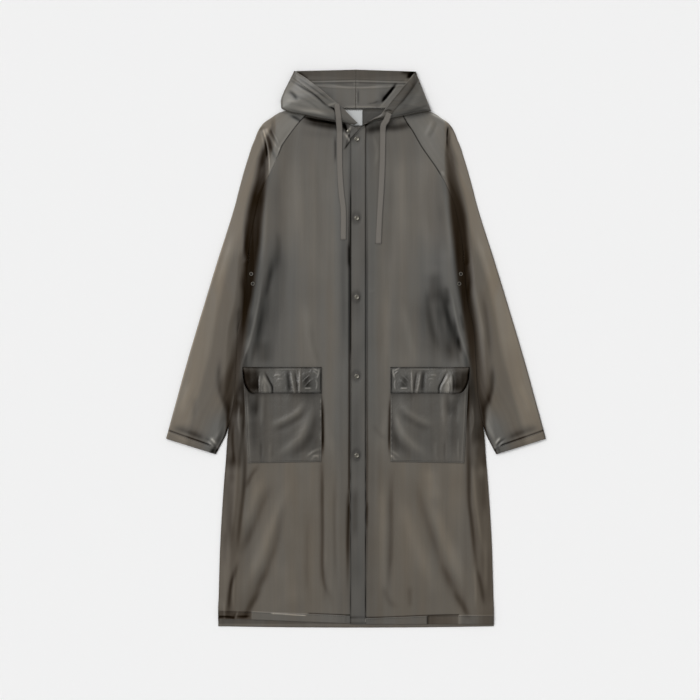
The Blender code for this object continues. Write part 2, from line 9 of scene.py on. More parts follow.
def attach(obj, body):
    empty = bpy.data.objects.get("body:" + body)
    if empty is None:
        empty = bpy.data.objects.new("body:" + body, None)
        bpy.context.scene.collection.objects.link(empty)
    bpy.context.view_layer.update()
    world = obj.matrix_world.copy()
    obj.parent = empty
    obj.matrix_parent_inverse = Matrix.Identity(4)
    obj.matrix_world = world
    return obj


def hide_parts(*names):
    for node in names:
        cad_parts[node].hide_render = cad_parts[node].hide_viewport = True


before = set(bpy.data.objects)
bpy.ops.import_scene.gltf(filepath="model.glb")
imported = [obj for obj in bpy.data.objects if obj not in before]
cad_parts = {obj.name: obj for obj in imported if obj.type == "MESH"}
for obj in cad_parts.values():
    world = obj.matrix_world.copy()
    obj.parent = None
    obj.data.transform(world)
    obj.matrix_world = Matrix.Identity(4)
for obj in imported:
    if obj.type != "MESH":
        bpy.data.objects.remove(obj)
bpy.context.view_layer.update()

bl_info = {
    "name": "Film raincoat",
    "version": (1, 0, 0),
    "blender": (4, 5, 0),
    "location": "View3D > Sidebar > Coat",
    "description": "Dresses the solids of a hooded raincoat that lies on its back, in smoke-grey film",
    "category": "Add Mesh",
}

# Every length in the tables and shape functions is in millimetres, and becomes metres when a mesh is made.
# X runs to the wearer's left, Y up the coat to the hood and Z off the surface that it lies on.
MM = 0.001
GAP = 0.35
BACK_LENGTH_Y, HEM_Y, FRONT_HEM_Y, HEM_DEPTH = 541.0, -627.0, -617.0, 20.0
FREE_EDGE_X, UNDERLAP_X, PLACKET_WIDTH = -13.5, 22.0, 36.0
FRONT_Z, OVERLAP_RISE, CREST_RUN = 4.2, 1.55, 75.0
UNDERARM_Y, TUCK_Z, SLEEVE_Z, TUCK_CLEAR = 195.0, 3.6, 6.4, 8.0
CUFF_TILT, CUFF_SLOPE, CUFF_Y, CUFF_X = 35.0, 0.35, -224.5, 304.8
SLEEVE_END_Y = -237.0
SOLID_WALL = 1.2
POCKET_INNER_X, POCKET_OUTER_X = 78.0, 254.0
POCKET_TOP_Y, FLAP_BOTTOM_Y, POCKET_BOTTOM_Y = -41.0, -100.0, -254.0
POCKET_PUFF, POCKET_TAPER, FLAP_CORNER, FLAP_OVERHANG = 1.6, 11.0, 50.0, 0.7
SNAP_X, SNAP_TOP_Y, SNAP_PITCH, SNAP_COUNT = 2.0, 471.0, 177.6, 5
STUD_X, STUD_Y = -17.0, 489.0
VENT_AT = ((235.0, 168.0), (231.5, 146.0))
LABEL_LEFT_X, LABEL_RIGHT_X, LABEL_Z = -27.0, 14.5, 2.9
LABEL_TOP_Y, LABEL_LOW_Y = 537.0, 502.0

# Where the body's sides lie at each height: half widths, and heights over the surface
LAY_COLUMNS = ("y", "crest_x", "crest_z", "edge_x", "edge_z", "back_z")
LAY_ROWS = (
    (545, 211, 5.4, 219, 5.2, 0.0),
    (506, 211, 5.8, 219, 5.0, 0.0),
    (488, 207, 6.4, 217, 4.0, 0.0),
    (463, 202, 6.4, 211, 3.4, 0.0),
    (436, 199, 6.4, 209, 3.3, 0.0),
    (413, 199, 6.4, 214, 3.3, 0.0),
    (380, 202, 6.4, 220, 3.3, 0.0),
    (335, 209, 6.4, 227, 3.4, 0.0),
    (278, 216, 6.8, 234, 4.2, 0.8),
    (222, 222, 8.0, 240, 5.8, 2.4),
    (195, 224, 8.9, 242, 6.8, 3.9),
    (110, 233, 8.9, 250, 6.8, 3.9),
    (42, 247, 8.9, 265, 6.8, 3.9),
    (-41, 254, 8.9, 270, 6.8, 3.9),
    (-97, 255, 8.9, 273, 6.8, 3.9),
    (-160, 258, 8.7, 283.5, 6.8, 3.9),
    (-187, 262, 8.0, 288, 5.2, 2.0),
    (-240, 266, 6.6, 292, 3.1, 0.0),
    (-330, 272, 6.2, 299, 3.0, 0.0),
    (-453, 280, 5.8, 306, 3.0, 0.0),
    (-560, 283, 5.6, 309, 3.2, 0.0),
    (-590, 284, 5.6, 310, 4.4, 0.0),
    (-627, 284, 5.6, 310, 4.4, 0.0),
)

# Sleeves: the outer fold and the two raglan seams, as half widths
ARM_COLUMNS = ("y", "outer_x", "seam_right_x", "seam_left_x")
ARM_ROWS = (
    (541, 128, 103, 98),
    (537, 150, 106, 100),
    (531, 172, 110, 103),
    (519, 191, 119, 109),
    (506, 209, 131, 117),
    (488, 221, 145, 129),
    (470, 228, 158, 139),
    (456, 234, 167, 147),
    (431, 242, 177, 164),
    (402, 251, 190, 184),
    (362, 262, 209, 206),
    (323, 272, 222, 222),
    (195, 312, 242, 242),
    (110, 338, 242, 242),
    (-24, 378, 242, 242),
    (-125, 406, 242, 242),
    (-202, 427, 242, 242),
)

# Inner fold of the closed part of a sleeve, which slips under the body below the underarm
TUBE_COLUMNS = ("y", "inner_x", "top_z", "bottom_z")
TUBE_ROWS = (
    (195, 242, 6.6, 3.9),
    (187, 240, 3.4, 0.0),
    (166, 238, 3.6, 0.0),
    (138, 234, 3.6, 0.0),
    (110, 226, 3.6, 0.0),
    (42, 232, 3.6, 0.0),
    (-41, 241, 3.6, 0.0),
    (-97, 252, 3.6, 0.0),
    (-140, 271, 3.6, 0.0),
    (-160, 281, 3.6, 0.0),
    (-178, 287.5, 3.6, 0.0),
    (-192, 292, 4.0, 0.0),
    (-216, 304, 4.4, 0.0),
    (-237, 315, 4.6, 0.0),
)

# Neck edge of each front, from its free edge to its raglan seam
NECK_LEFT_ROWS = ((-13.5, 472), (13.5, 501), (43, 519), (76, 528), (101, 537))
NECK_RIGHT_ROWS = ((-22, 474), (-18, 481), (0, 497), (18, 508), (43, 519), (76, 528), (106, 537))

# Hood halves, from the tip at the front neck to the top of the brim: the inner line runs up the neck seam
# and the centre seam, the fold is the outline, and the brim bounds the mouth
HOOD_COLUMNS = (
    "inner_x", "inner_y", "inner_z", "fold_x", "fold_y", "fold_z", "radius",
    "right_x", "right_y", "right_z", "left_x", "left_y", "left_z",
)
HOOD_ROWS = (
    (26, 513, 7.4, 4, 502, 7.4, 2.2, -4, 506, 13, 21, 504, 13),
    (48, 522, 7.4, 43, 512, 7.4, 3.0, 14, 523, 17, 38, 514, 16),
    (76, 531, 7.4, 82, 518, 7.4, 4.0, 29, 539, 20, 56, 525, 19),
    (108, 540, 7.4, 122, 526, 7.4, 5.0, 45, 551, 23, 65, 537, 22),
    (137, 544.5, 5.5, 152, 532, 7.4, 5.0, 60, 564, 25, 74, 548, 24),
    (97, 542, 0, 168, 541, 5.0, 6.0, 74, 576, 27, 84, 560, 26),
    (48, 541.6, 0, 169, 556, 1.0, 7.0, 88, 587, 27, 94, 572, 26),
    (0, 541.6, 0, 163, 575, 0, 7.0, 101, 597, 25, 104, 585, 24),
    (0, 572, 0, 155, 592, 0, 6.0, 114, 607, 21, 114, 597, 20),
    (0, 600, 0.6, 147, 608, 0.4, 5.0, 127, 616, 16, 124, 610, 15),
    (0, 606.5, 1.2, 143, 615.5, 1.0, 4.4, 132, 619.5, 13.6, 128, 615, 13),
    (0, 627, 5.0, 139, 624, 3.6, 3.0, 137, 622.5, 11.2, 133, 619.5, 11),
)
# The wearer's left half of the hood is folded to a straighter outline with a sharp lower corner
HOOD_FOLD_LEFT = (
    (4, 502), (43, 512), (82, 518), (122, 526), (152, 532), (169, 533), (160.5, 556), (153, 575), (146.5, 592),
    (140, 608), (137, 615.5), (134.5, 623),
)
HOOD_PUFF, HOOD_TIP_SHIFT, CASING_DEPTH = 2.5, 12.0, 23.0
UNDER, BEND, OVER = 72, 9, 60  # columns of a hood half before its fold, round it, and on to the brim

# Drawstrings, from the casing's open end to the free end
TAPE_RIGHT = (
    (-43, 547), (-41, 533), (-39, 515), (-37, 490), (-37, 440), (-36, 390), (-33, 350), (-28.5, 310),
    (-28.5, 245),
)
TAPE_LEFT = ((74, 527), (68, 512), (61, 500), (60, 470), (59, 420), (56, 350), (53, 300), (50, 236))
TAPE_FALL = 0.45

# Creases: width, how far the film stands up (or sinks, below 0), how much lighter it looks, and the line's points.
# The lightness is painted light and shade: painted highlights on ridges and glints, painted shade in troughs, and,
# in the lines that don't stand up, painted shadows such as those under the hood and beside the placket and pockets.
FRONT_RIGHT_CREASES_AND_SHADING = (
    (5.69, 0.3, 0.05, (-198, 398), (-202, 301), (-204, 236), (-207, 202), (-212, 155)),
    (2.93, 0.4, 0.11, (-209, 173), (-217, 110), (-227, 60), (-232, 38), (-240, 8), (-249, -16),
     (-268, -79)),
    (9.31, -0.45, -0.11, (-173, 249), (-187, 193), (-201, 139), (-209, 101), (-216, 49), (-225, -7),
     (-234, -43)),
    (10.35, 0.3, 0.05, (-115, 119), (-106, 42), (-94, -7), (-83, -52)),
    (6.73, -0.3, -0.06, (-101, 60), (-91, -3), (-74, -48)),
    (3.6, 0, -0.34, (-140, 530), (-108, 519), (-76, 512), (-45, 507), (-9, 501)),
    (2.48, -0.2, -0.24, (-47, 483), (-46, 447), (-47, 411)),
    (13.5, 0.4, 0.03, (-126, 492), (-128, 380), (-119, 222)),
    (11.25, -0.3, -0.03, (-86, 447), (-79, 335), (-72, 155)),
    (11.25, -0.3, -0.03, (-160, 425), (-166, 335), (-155, 245)),
    (14.23, 0.66, 0.09, (-133, -264), (-160, -340), (-194, -419), (-212, -464), (-230, -500),
     (-252, -545), (-272, -586)),
    (11.25, -0.6, -0.12, (-180, -291), (-204, -340), (-222, -385), (-236, -419), (-252, -453),
     (-266, -489)),
    (10.87, -0.66, -0.12, (-144, -304), (-159, -345), (-169, -385), (-178, -442), (-194, -484),
     (-214, -527), (-234, -568), (-254, -601)),
    (11.25, -0.4, -0.07, (-184, -480), (-209, -529), (-227, -565), (-248, -615)),
    (12.94, 0.42, 0.09, (-207, -282), (-223, -322), (-238, -367), (-252, -417)),
    (5.4, -0.5, -0.22, (-251, -142), (-249, -255), (-251, -307), (-255, -352), (-260, -397),
     (-266, -448), (-270, -489)),
    (5.4, -0.48, -0.24, (-76, -205), (-75, -318), (-74, -415), (-75, -487), (-72, -527), (-56, -561),
     (-50, -597)),
    (6.73, 0.3, 0.05, (-68, -273), (-68, -475), (-61, -556)),
    (6.75, -0.4, -0.07, (-106, -363), (-108, -514), (-99, -570)),
    (4.95, -0.4, -0.09, (-45, -255), (-47, -385), (-43, -565)),
    (23.29, 0.36, 0.05, (-171, -466), (-148, -534), (-130, -592)),
    (3.36, 0.3, 0.07, (-263, -106), (-259, -183), (-263, -246)),
    (3.36, -0.3, -0.1, (-254, -70), (-251, -138), (-253, -219)),
    (2.48, 0, -0.36, (-15, 497), (-15, 110), (-15, -250), (-17, -610)),
    (2.93, -0.3, -0.15, (-19, -295), (-18, -367), (-19, -442), (-18, -502)),
    (3.6, -0.3, -0.16, (-17, 245), (-17, 213), (-17, 177)),
    (7.88, 0, -0.08, (-189, 143), (-212, 42), (-234, -39)),
    (11.25, 0.3, 0.04, (-86, -115), (-58, -205), (-45, -255)),
    (5.69, -0.36, -0.14, (-212, -257), (-234, -286), (-248, -322)),
    (2.25, 0, -0.3, (-324, -604), (-297, -602), (-266, -604)),
    (2.02, 0.4, 0.1, (-296, -565), (-295, -597), (-295, -631)),
    (3.15, -0.2, -0.1, (-268, -588), (-274, -606), (-281, -628)),
    (2.25, 0.4, 0.08, (-263, -586), (-269, -604), (-274, -628)),
    (33.75, 0, -0.05, (-148, 231), (-164, 110), (-189, 20), (-198, -61)),
    (5.85, -0.2, -0.06, (-198, 132), (-207, 92), (-217, 47), (-227, 6), (-236, -39), (-248, -106)),
    (3.6, 0.3, 0.07, (-263, -187), (-268, -295), (-272, -352), (-281, -442)),
    (3.6, 0.4, 0.08, (-270, -475), (-274, -543), (-274, -592)),
    (1.8, 0, -0.3, (-7, 476), (-18, 460), (-29, 445)),
    (9, 0, -0.1, (-22, 357), (-27, 200), (-27, 42), (-25, -70)),
    (3.6, -0.2, -0.12, (-20, -291), (-21, -385), (-20, -475), (-21, -579)),
    (2.25, 0.6, 0.5, (-9, 503), (-15, 492), (-20, 474)),
    (2.48, 0.6, 0.4, (-29, 488), (-20, 476), (-11, 463)),
    (2.48, -0.3, -0.36, (-27, 515), (-25, 501), (-18, 483), (-11, 467)),
    (1.8, 0, -0.16, (-9, 499), (-20, 467), (-24, 445)),
    (5.4, -0.3, -0.25, (-261, -466), (-271, -500), (-280, -529), (-284, -556), (-286, -583), (-288, -615)),
    (8.1, 0, -0.34, (-135, 518), (-99, 508), (-63, 501), (-32, 498), (4, 493)),
    (13.5, 0, -0.07, (-184, 447), (-182, 335), (-178, 211), (-189, 110)),
    (6.75, 0, -0.06, (-180, 278), (-173, 222), (-184, 166)),
    (3.6, 0, -0.14, (-266, 42), (-263, -3), (-263, -52), (-266, -88)),
    (2.02, 0.3, 0.14, (-261, -124), (-264, -160), (-259, -196)),
    (3.6, -0.2, -0.16, (-272, -273), (-277, -205), (-274, -156)),
    (2.25, 0, -0.42, (-76, -84), (-76, -138), (-75, -205), (-76, -255)),
    (7.2, -0.2, -0.13, (-210, -538), (-230, -569), (-246, -595), (-261, -619)),
    (11.25, 0, -0.14, (-292, -246), (-286, -318), (-286, -385), (-288, -471)),
    (9, 0, -0.17, (-261, -48), (-263, -84), (-270, -124), (-272, -174)),
    (2.7, 0, -0.2, (-126, 522), (-92, 514), (-63, 510), (-32, 504)),
    (10.12, 0, -0.07, (-135, 490), (-92, 483), (-45, 481), (-18, 479)),
    (1.8, 0.3, 0.16, (-17, -309), (-15, -334), (-17, -358)),
    (5.85, 0, -0.11, (-266, -111), (-261, -129), (-259, -156)),
    (2.7, 0, -0.2, (-274, -601), (-254, -602), (-234, -601)),
    (5.85, 0, -0.11, (-187, 200), (-192, 166), (-199, 132), (-205, 101)),
    (6.75, 0, -0.13, (-236, 87), (-239, 62), (-241, 38), (-249, 11)),
    (4.95, 0, -0.11, (-249, 290), (-251, 245), (-252, 218), (-254, 186)),
    (4.5, 0, -0.1, (-261, 101), (-265, 71), (-266, 51), (-268, 29)),
    (18, 0, -0.08, (-212, 24), (-207, -7), (-202, -39)),
    (36, 0, -0.03, (-81, 195), (-81, 87), (-81, -39)),
    (7.88, 0, -0.12, (-279, -228), (-279, -273), (-277, -313)),
    (5.62, 0, -0.09, (-295, -399), (-295, -448), (-295, -498)),
    (5.4, 0, -0.07, (-72, -475), (-70, -529), (-72, -579)),
    (2.93, 0, -0.26, (-74, -106), (-73, -156), (-73, -205), (-74, -250)),
)
FRONT_LEFT_CREASES_AND_SHADING = (
    (6.21, 0.3, 0.04, (202, 368), (207, 301), (214, 233), (218, 182)),
    (2.93, 0.4, 0.12, (209, 146), (218, 110), (226, 69), (232, 42), (239, 20), (246, -3), (256, -34),
     (266, -84)),
    (8.28, -0.4, -0.09, (189, 150), (199, 110), (212, 60), (223, 8), (234, -39)),
    (8.28, -0.4, -0.1, (155, 146), (162, 110), (168, 60), (180, 20), (194, -16)),
    (29.25, 0, -0.12, (184, 173), (202, 65), (214, -3), (223, -61)),
    (24.75, 0, -0.09, (144, 141), (158, 42), (184, -48)),
    (9.31, 0.3, 0.05, (106, 119), (112, 83), (119, 42), (128, 2), (137, -43)),
    (9, 0.3, 0.03, (74, 141), (74, 42), (72, -43)),
    (13.5, 0.4, 0.03, (104, 470), (108, 357), (117, 200)),
    (11.25, -0.3, -0.03, (162, 402), (166, 323), (176, 236)),
    (11.25, -0.3, -0.03, (81, 447), (81, 335), (76, 155)),
    (1.8, 0.4, 0.07, (25, 132), (36, 131), (50, 132)),
    (5.17, -0.3, -0.06, (38, -167), (54, -192), (79, -208)),
    (7.24, -0.54, -0.15, (83, -250), (80, -318), (80, -433), (76, -514), (68, -574)),
    (9.31, 0.3, 0.07, (61, -273), (61, -475), (65, -579)),
    (10.87, -0.66, -0.12, (124, -268), (140, -318), (155, -363), (169, -408), (182, -448), (196, -489),
     (209, -523), (222, -552), (236, -586), (250, -613)),
    (11.25, -0.4, -0.1, (194, -475), (220, -529), (238, -565), (261, -615)),
    (15.52, 0.42, 0.07, (94, -309), (126, -408), (166, -509), (191, -574)),
    (15.52, 0.54, 0.09, (153, -309), (189, -397), (223, -475), (256, -556)),
    (5.4, -0.5, -0.25, (248, -124), (251, -205), (254, -273), (255, -340), (260, -385), (265, -435),
     (270, -484), (279, -538)),
    (6.73, -0.3, -0.1, (61, -529), (74, -565), (97, -588)),
    (5.85, -0.4, -0.09, (122, -529), (124, -588)),
    (3.36, 0.3, 0.07, (263, -106), (259, -183), (263, -246)),
    (3.36, -0.3, -0.1, (254, -70), (251, -138), (253, -219)),
    (2.02, 0, -0.22, (25, 497), (25, 110), (25, -250), (25, -615)),
    (5.62, 0, -0.1, (18, 506), (43, 506), (81, 510), (117, 517)),
    (11.25, 0.3, 0.04, (86, -115), (58, -205), (50, -255)),
    (15.52, 0.3, 0.09, (166, -259), (173, -307), (184, -352)),
    (5.85, -0.25, -0.07, (194, 128), (205, 83), (216, 47), (227, 8), (234, -30), (248, -106)),
    (7.65, 0, -0.08, (176, 132), (187, 76), (207, 8), (230, -52)),
    (3.6, 0.3, 0.1, (261, -219), (268, -325), (277, -397), (289, -471)),
    (3.6, 0.4, 0.08, (266, -475), (270, -543), (270, -592)),
    (2.93, -0.2, -0.55, (47, 524), (27, 508), (6, 491), (-20, 463)),
    (4.95, 0.4, 0.06, (36, 485), (50, 447), (45, 402)),
    (4.73, -0.3, -0.15, (272, -489), (279, -520), (284, -547), (288, -583)),
    (9, 0, -0.3, (-9, 490), (22, 491), (58, 497), (99, 499), (153, 515)),
    (14.62, 0, -0.1, (176, 447), (182, 323), (184, 211), (191, 87)),
    (13.5, 0, -0.09, (184, 159), (202, 60), (207, -70)),
    (2.02, 0.3, 0.12, (261, -124), (264, -160), (259, -196)),
    (2.25, 0, -0.36, (76, -84), (76, -138), (75, -205), (76, -255)),
    (7.2, -0.2, -0.13, (216, -538), (232, -565), (248, -592), (261, -619)),
    (8.1, 0, -0.16, (243, -57), (248, -93), (248, -124), (245, -169)),
    (10.12, 0, 0.14, (279, -196), (266, -232), (274, -273)),
    (7.88, 0, 0.1, (288, -340), (290, -408), (292, -475)),
    (5.85, 0, -0.16, (21, -334), (23, -358), (21, -385), (23, -410)),
    (7.88, 0, 0.12, (284, -201), (281, -250), (281, -304)),
    (20.25, 0, -0.13, (173, 182), (176, 139), (182, 96)),
    (6.75, 0, -0.11, (202, 146), (206, 116), (209, 92)),
    (11.25, 0, -0.07, (194, 348), (196, 278), (200, 204)),
    (5.85, 0, -0.15, (219, 78), (224, 42), (230, 15), (236, -16)),
    (6.75, 0, 0.1, (191, 83), (197, 53), (202, 24), (209, -7)),
    (31.5, 0, -0.03, (104, 137), (104, 42), (104, -39)),
    (4.05, 0, -0.13, (233, 85), (238, 60), (244, 33)),
    (4.05, 0, -0.12, (229, 35), (232, 11), (237, -16)),
    (4.5, 0, 0.13, (289, -421), (291, -471), (291, -516), (292, -556)),
    (2.7, 0, -0.16, (74, -106), (73, -183), (74, -250)),
)
SLEEVE_RIGHT_CREASES_AND_SHADING = (
    (6.75, 0, -0.25, (-158, 530), (-135, 523), (-108, 514), (-81, 506)),
    (3.6, 0, -0.12, (-180, 532), (-162, 532), (-144, 527)),
    (2.48, 0.56, 0.14, (-335, -205), (-322, -219), (-310, -235)),
    (2.97, -0.56, -0.16, (-340, -199), (-324, -210), (-308, -221)),
    (2.23, 0.49, 0.12, (-328, -196), (-317, -212), (-306, -228)),
    (4.95, 0.49, 0.07, (-290, -154), (-306, -190), (-322, -210)),
    (3.96, -0.56, -0.14, (-286, -172), (-302, -201), (-313, -221)),
    (6.75, -0.4, -0.1, (-418, -178), (-387, -185), (-356, -196), (-333, -208)),
    (9.9, 0.35, 0.04, (-369, -70), (-382, -115), (-387, -160)),
    (6.75, -0.4, -0.05, (-360, -104), (-362, -160)),
    (7.43, 0.35, 0.05, (-270, 267), (-292, 195), (-313, 128)),
    (3.6, 0, -0.14, (-313, -214), (-320, -226), (-326, -241)),
    (2.02, -0.4, -0.22, (-215, 501), (-207, 474), (-201, 447), (-199, 416)),
    (3.38, -0.4, -0.1, (-207, 492), (-196, 470), (-187, 447), (-180, 427), (-182, 407)),
    (4.95, -0.3, -0.1, (-198, 463), (-187, 443), (-177, 418)),
    (2.7, 0.5, 0.16, (-205, 503), (-194, 480), (-181, 458), (-169, 440)),
    (2.02, -0.3, -0.16, (-196, 499), (-183, 474), (-171, 454)),
    (2.25, 0.4, 0.08, (-189, 492), (-178, 472), (-169, 452)),
    (2.7, 0.5, 0.22, (-172, 456), (-171, 445), (-176, 431)),
    (2.48, -0.3, -0.15, (-169, 452), (-172, 436), (-180, 425)),
    (6.75, 0, -0.16, (-306, -7), (-308, -82), (-297, -120), (-284, -151)),
    (2.93, 0.7, 0.26, (-326, -199), (-318, -208), (-312, -217)),
    (2.25, 0.6, 0.22, (-331, -210), (-322, -218), (-315, -223)),
    (2.7, -0.3, -0.16, (-326, -214), (-315, -226), (-308, -232)),
    (4.5, 0, -0.12, (-333, -228), (-320, -230), (-306, -226)),
    (4.95, 0.5, 0.16, (-331, -203), (-322, -210), (-313, -214)),
    (6.75, 0, -0.06, (-414, -169), (-374, -178), (-328, -199)),
    (1.8, 0.7, 0.3, (-213, 506), (-204, 479), (-198, 454), (-195, 434), (-194, 413), (-197, 371)),
    (2.02, 0.4, 0.1, (-199, 407), (-201, 380), (-201, 353)),
    (7.2, 0, -0.1, (-209, 470), (-207, 434), (-214, 398)),
    (3.38, 0, -0.36, (-153, 527), (-137, 519), (-124, 511), (-110, 505)),
    (6.75, 0, -0.15, (-418, -174), (-382, -186), (-351, -198), (-328, -208)),
    (1.57, 0, 0.08, (-418, -193), (-374, -209), (-338, -223)),
    (4.95, 0, -0.14, (-248, 301), (-250, 245), (-252, 204), (-255, 177)),
    (4.5, 0, -0.12, (-261, 101), (-265, 71), (-266, 51), (-268, 29)),
)
SLEEVE_LEFT_CREASES_AND_SHADING = (
    (6.75, 0, -0.14, (171, 530), (140, 525), (108, 518)),
    (7.43, -0.42, -0.09, (277, 150), (289, 103), (297, 53), (302, -3), (304, -66)),
    (6.44, 0.35, 0.05, (270, 141), (277, 103), (284, 53), (290, -3)),
    (6.44, -0.56, -0.07, (306, -25), (308, -82), (297, -120), (279, -147)),
    (2.48, 0.56, 0.14, (335, -205), (322, -219), (310, -235)),
    (2.97, -0.56, -0.16, (340, -199), (324, -210), (308, -221)),
    (2.23, 0.49, 0.12, (328, -196), (317, -212), (306, -228)),
    (4.95, 0.49, 0.07, (290, -154), (306, -190), (322, -210)),
    (3.96, -0.56, -0.14, (286, -172), (302, -201), (313, -221)),
    (6.75, -0.4, -0.1, (418, -178), (387, -185), (356, -196), (333, -208)),
    (9.9, 0.35, 0.04, (371, -70), (385, -115), (389, -160)),
    (7.43, 0.35, 0.05, (270, 267), (295, 195), (315, 128)),
    (3.6, 0, -0.14, (313, -214), (320, -226), (326, -241)),
    (2.02, 0.2, -0.3, (209, 506), (205, 490), (204, 472), (205, 447)),
    (4.5, 0.3, 0.07, (176, 517), (166, 497), (155, 474)),
    (4.05, -0.2, -0.05, (184, 512), (176, 492), (164, 470)),
    (3.15, 0.3, 0.3, (158, 535), (176, 525), (194, 516), (214, 502)),
    (2.7, 0.5, 0.18, (191, 400), (196, 393), (200, 398)),
    (6.75, 0, -0.12, (306, -25), (306, -82), (297, -120), (288, -151)),
    (2.93, 0.7, 0.24, (326, -199), (318, -208), (312, -217)),
    (2.7, -0.4, -0.28, (326, -214), (315, -226), (308, -232)),
    (6.75, 0, -0.06, (414, -169), (374, -178), (328, -199)),
    (1.8, 0, -0.2, (208, 503), (206, 490), (204, 472)),
    (6.75, 0, -0.1, (418, -174), (382, -186), (351, -198), (328, -208)),
    (1.57, 0, 0.08, (418, -193), (374, -209), (338, -223)),
    (24.75, 0, 0.06, (315, 155), (338, 65), (356, -30)),
    (15.75, 0, -0.04, (284, 141), (295, 65), (304, -12)),
)
POCKET_CREASES_AND_SHADING = (
    (7.65, 0.9, 0.12, (112, -115), (126, -139), (144, -152), (169, -165), (198, -175)),
    (8.55, -0.5, -0.07, (108, -129), (122, -151), (141, -166), (166, -179), (194, -190)),
    (9.45, 0.9, 0.14, (96, -120), (102, -149), (112, -176), (125, -199), (146, -219), (169, -238),
     (184, -255)),
    (10.8, -0.6, -0.09, (81, -124), (90, -169), (100, -199), (116, -221), (137, -241), (158, -257)),
    (4.5, 0.4, 0.07, (207, -93), (209, -138), (212, -183)),
    (5.4, -0.4, -0.07, (219, -93), (223, -160)),
    (2.7, 0.6, 0.18, (115, -247), (97, -233), (74, -221)),
    (2.25, 0.5, 0.18, (106, -254), (90, -241), (74, -239)),
    (3.15, -0.3, -0.05, (212, -201), (212, -264)),
    (3.6, 0.3, 0.05, (191, -205), (194, -264)),
    (15.75, -0.4, -0.1, (256, -84), (238, -120), (220, -156)),
    (15.75, 0, -0.07, (160, -100), (126, -102), (76, -102)),
    (2.7, 0, -0.35, (254, -43), (251, -73), (238, -96), (220, -103)),
    (11.25, 0, -0.08, (232, -97), (230, -172), (230, -246)),
    (13.5, 0, -0.06, (94, -183), (97, -212), (104, -241)),
    (2.02, 0.4, 0.13, (242, -196), (242, -226), (242, -257)),
    (4.95, 0.3, 0.06, (244, -115), (244, -147), (243, -178)),
    (1.8, 0.4, 0.24, (80, -111), (79, -118), (80, -124)),
    (1.8, 0.4, 0.2, (81, -136), (79, -145), (81, -154)),
    (1.8, 0.4, 0.16, (81, -187), (80, -199), (81, -210)),
    (2.02, 0.6, 0.2, (101, -244), (90, -240), (81, -248)),
)
FLAP_CREASES_AND_SHADING = (
    (14.62, 0, -0.3, (245, -34), (241, -70), (230, -109)),
    (8.1, 0, -0.18, (225, -34), (223, -70), (222, -106)),
    (2.7, -0.2, -0.26, (253, -34), (251, -70), (242, -92), (225, -102)),
    (2.02, -0.3, -0.1, (218, -52), (220, -75), (218, -106)),
    (7.2, 0.4, 0.27, (212, -57), (207, -79), (204, -111)),
    (2.7, 0.5, 0.1, (213, -50), (215, -73), (215, -106)),
    (2.93, 0.5, 0.12, (212, -50), (202, -70), (193, -86), (191, -109)),
    (2.02, 0.5, -0.08, (208, -70), (210, -88), (207, -109)),
    (2.48, -0.6, -0.3, (206, -48), (194, -73), (187, -88), (188, -111)),
    (9.45, 0.3, 0.06, (171, -39), (171, -70), (169, -106)),
    (2.25, 0.4, 0.16, (184, -63), (176, -59), (166, -61)),
    (1.8, 0.3, 0.1, (178, -70), (169, -68), (160, -70)),
    (5.17, -0.5, -0.22, (154, -43), (151, -70), (148, -106)),
    (2.02, 0.6, 0.2, (147, -46), (142, -75), (135, -111)),
    (2.93, -0.5, -0.18, (138, -46), (133, -75), (130, -106)),
    (2.02, 0.6, 0.2, (125, -39), (126, -70), (127, -111)),
    (9.9, -0.4, -0.2, (115, -55), (110, -73), (106, -97)),
    (1.57, 0.4, 0.12, (122, -77), (112, -66), (101, -57)),
    (1.57, 0.4, 0.1, (117, -88), (106, -75), (94, -66)),
    (1.8, 0.5, 0.44, (118, -89), (109, -89), (98, -89)),
    (1.8, 0.7, 0.34, (101, -42), (92, -46), (83, -51)),
    (1.8, 0.6, 0.24, (97, -49), (90, -54), (84, -61)),
    (1.57, 0.6, 0.34, (83, -41), (84, -56), (89, -70)),
    (1.57, 0.5, 0.24, (91, -66), (87, -80), (90, -96)),
    (2.25, 0, -0.26, (79, -34), (79, -70), (79, -111)),
    (2.48, 0, -0.26, (135, -101), (112, -102), (88, -100)),
    (1.8, 0.3, 0.13, (189, -45), (148, -46), (112, -44)),
)
HOOD_RIGHT_CREASES_AND_SHADING = (
    (2.25, -0.3, -0.34, (-158, 611), (-146, 602), (-118, 583), (-91, 566), (-68, 545), (-45, 528)),
    (1.8, -0.2, -0.2, (-146, 618), (-115, 596), (-81, 571), (-45, 544)),
    (2.25, 0.3, 0.09, (-155, 602), (-126, 582), (-97, 562), (-68, 539)),
    (2.25, 0.2, 0.06, (-140, 607), (-108, 584), (-76, 562), (-58, 546)),
    (4.5, -0.5, -0.24, (-158, 581), (-144, 570), (-128, 554)),
    (2.7, -0.2, -0.1, (-144, 575), (-128, 562), (-112, 553)),
    (6.75, 0.3, 0.06, (-162, 560), (-144, 553), (-124, 546)),
    (3.6, -0.2, -0.07, (-164, 552), (-126, 544), (-90, 533)),
    (2.7, -0.2, -0.08, (-135, 569), (-104, 551), (-72, 528)),
    (4.5, 0.2, 0.05, (-126, 542), (-92, 533), (-58, 521)),
    (3.15, 0, -0.22, (-176, 543), (-155, 537), (-122, 529), (-81, 521), (-25, 508)),
    (2.02, 0, -0.62, (-65, 543), (-54, 539), (-47, 533), (-45, 521), (-45, 503)),
    (2.7, 0.3, 0.22, (-68, 541), (-52, 547), (-38, 549)),
    (4.95, 0.2, 0.14, (-144, 536), (-112, 532), (-81, 528), (-54, 521)),
    (3.6, -0.4, -0.22, (-153, 582), (-140, 569), (-126, 551)),
    (1.8, 0, -0.3, (-37, 552), (-32, 544), (-26, 534)),
)
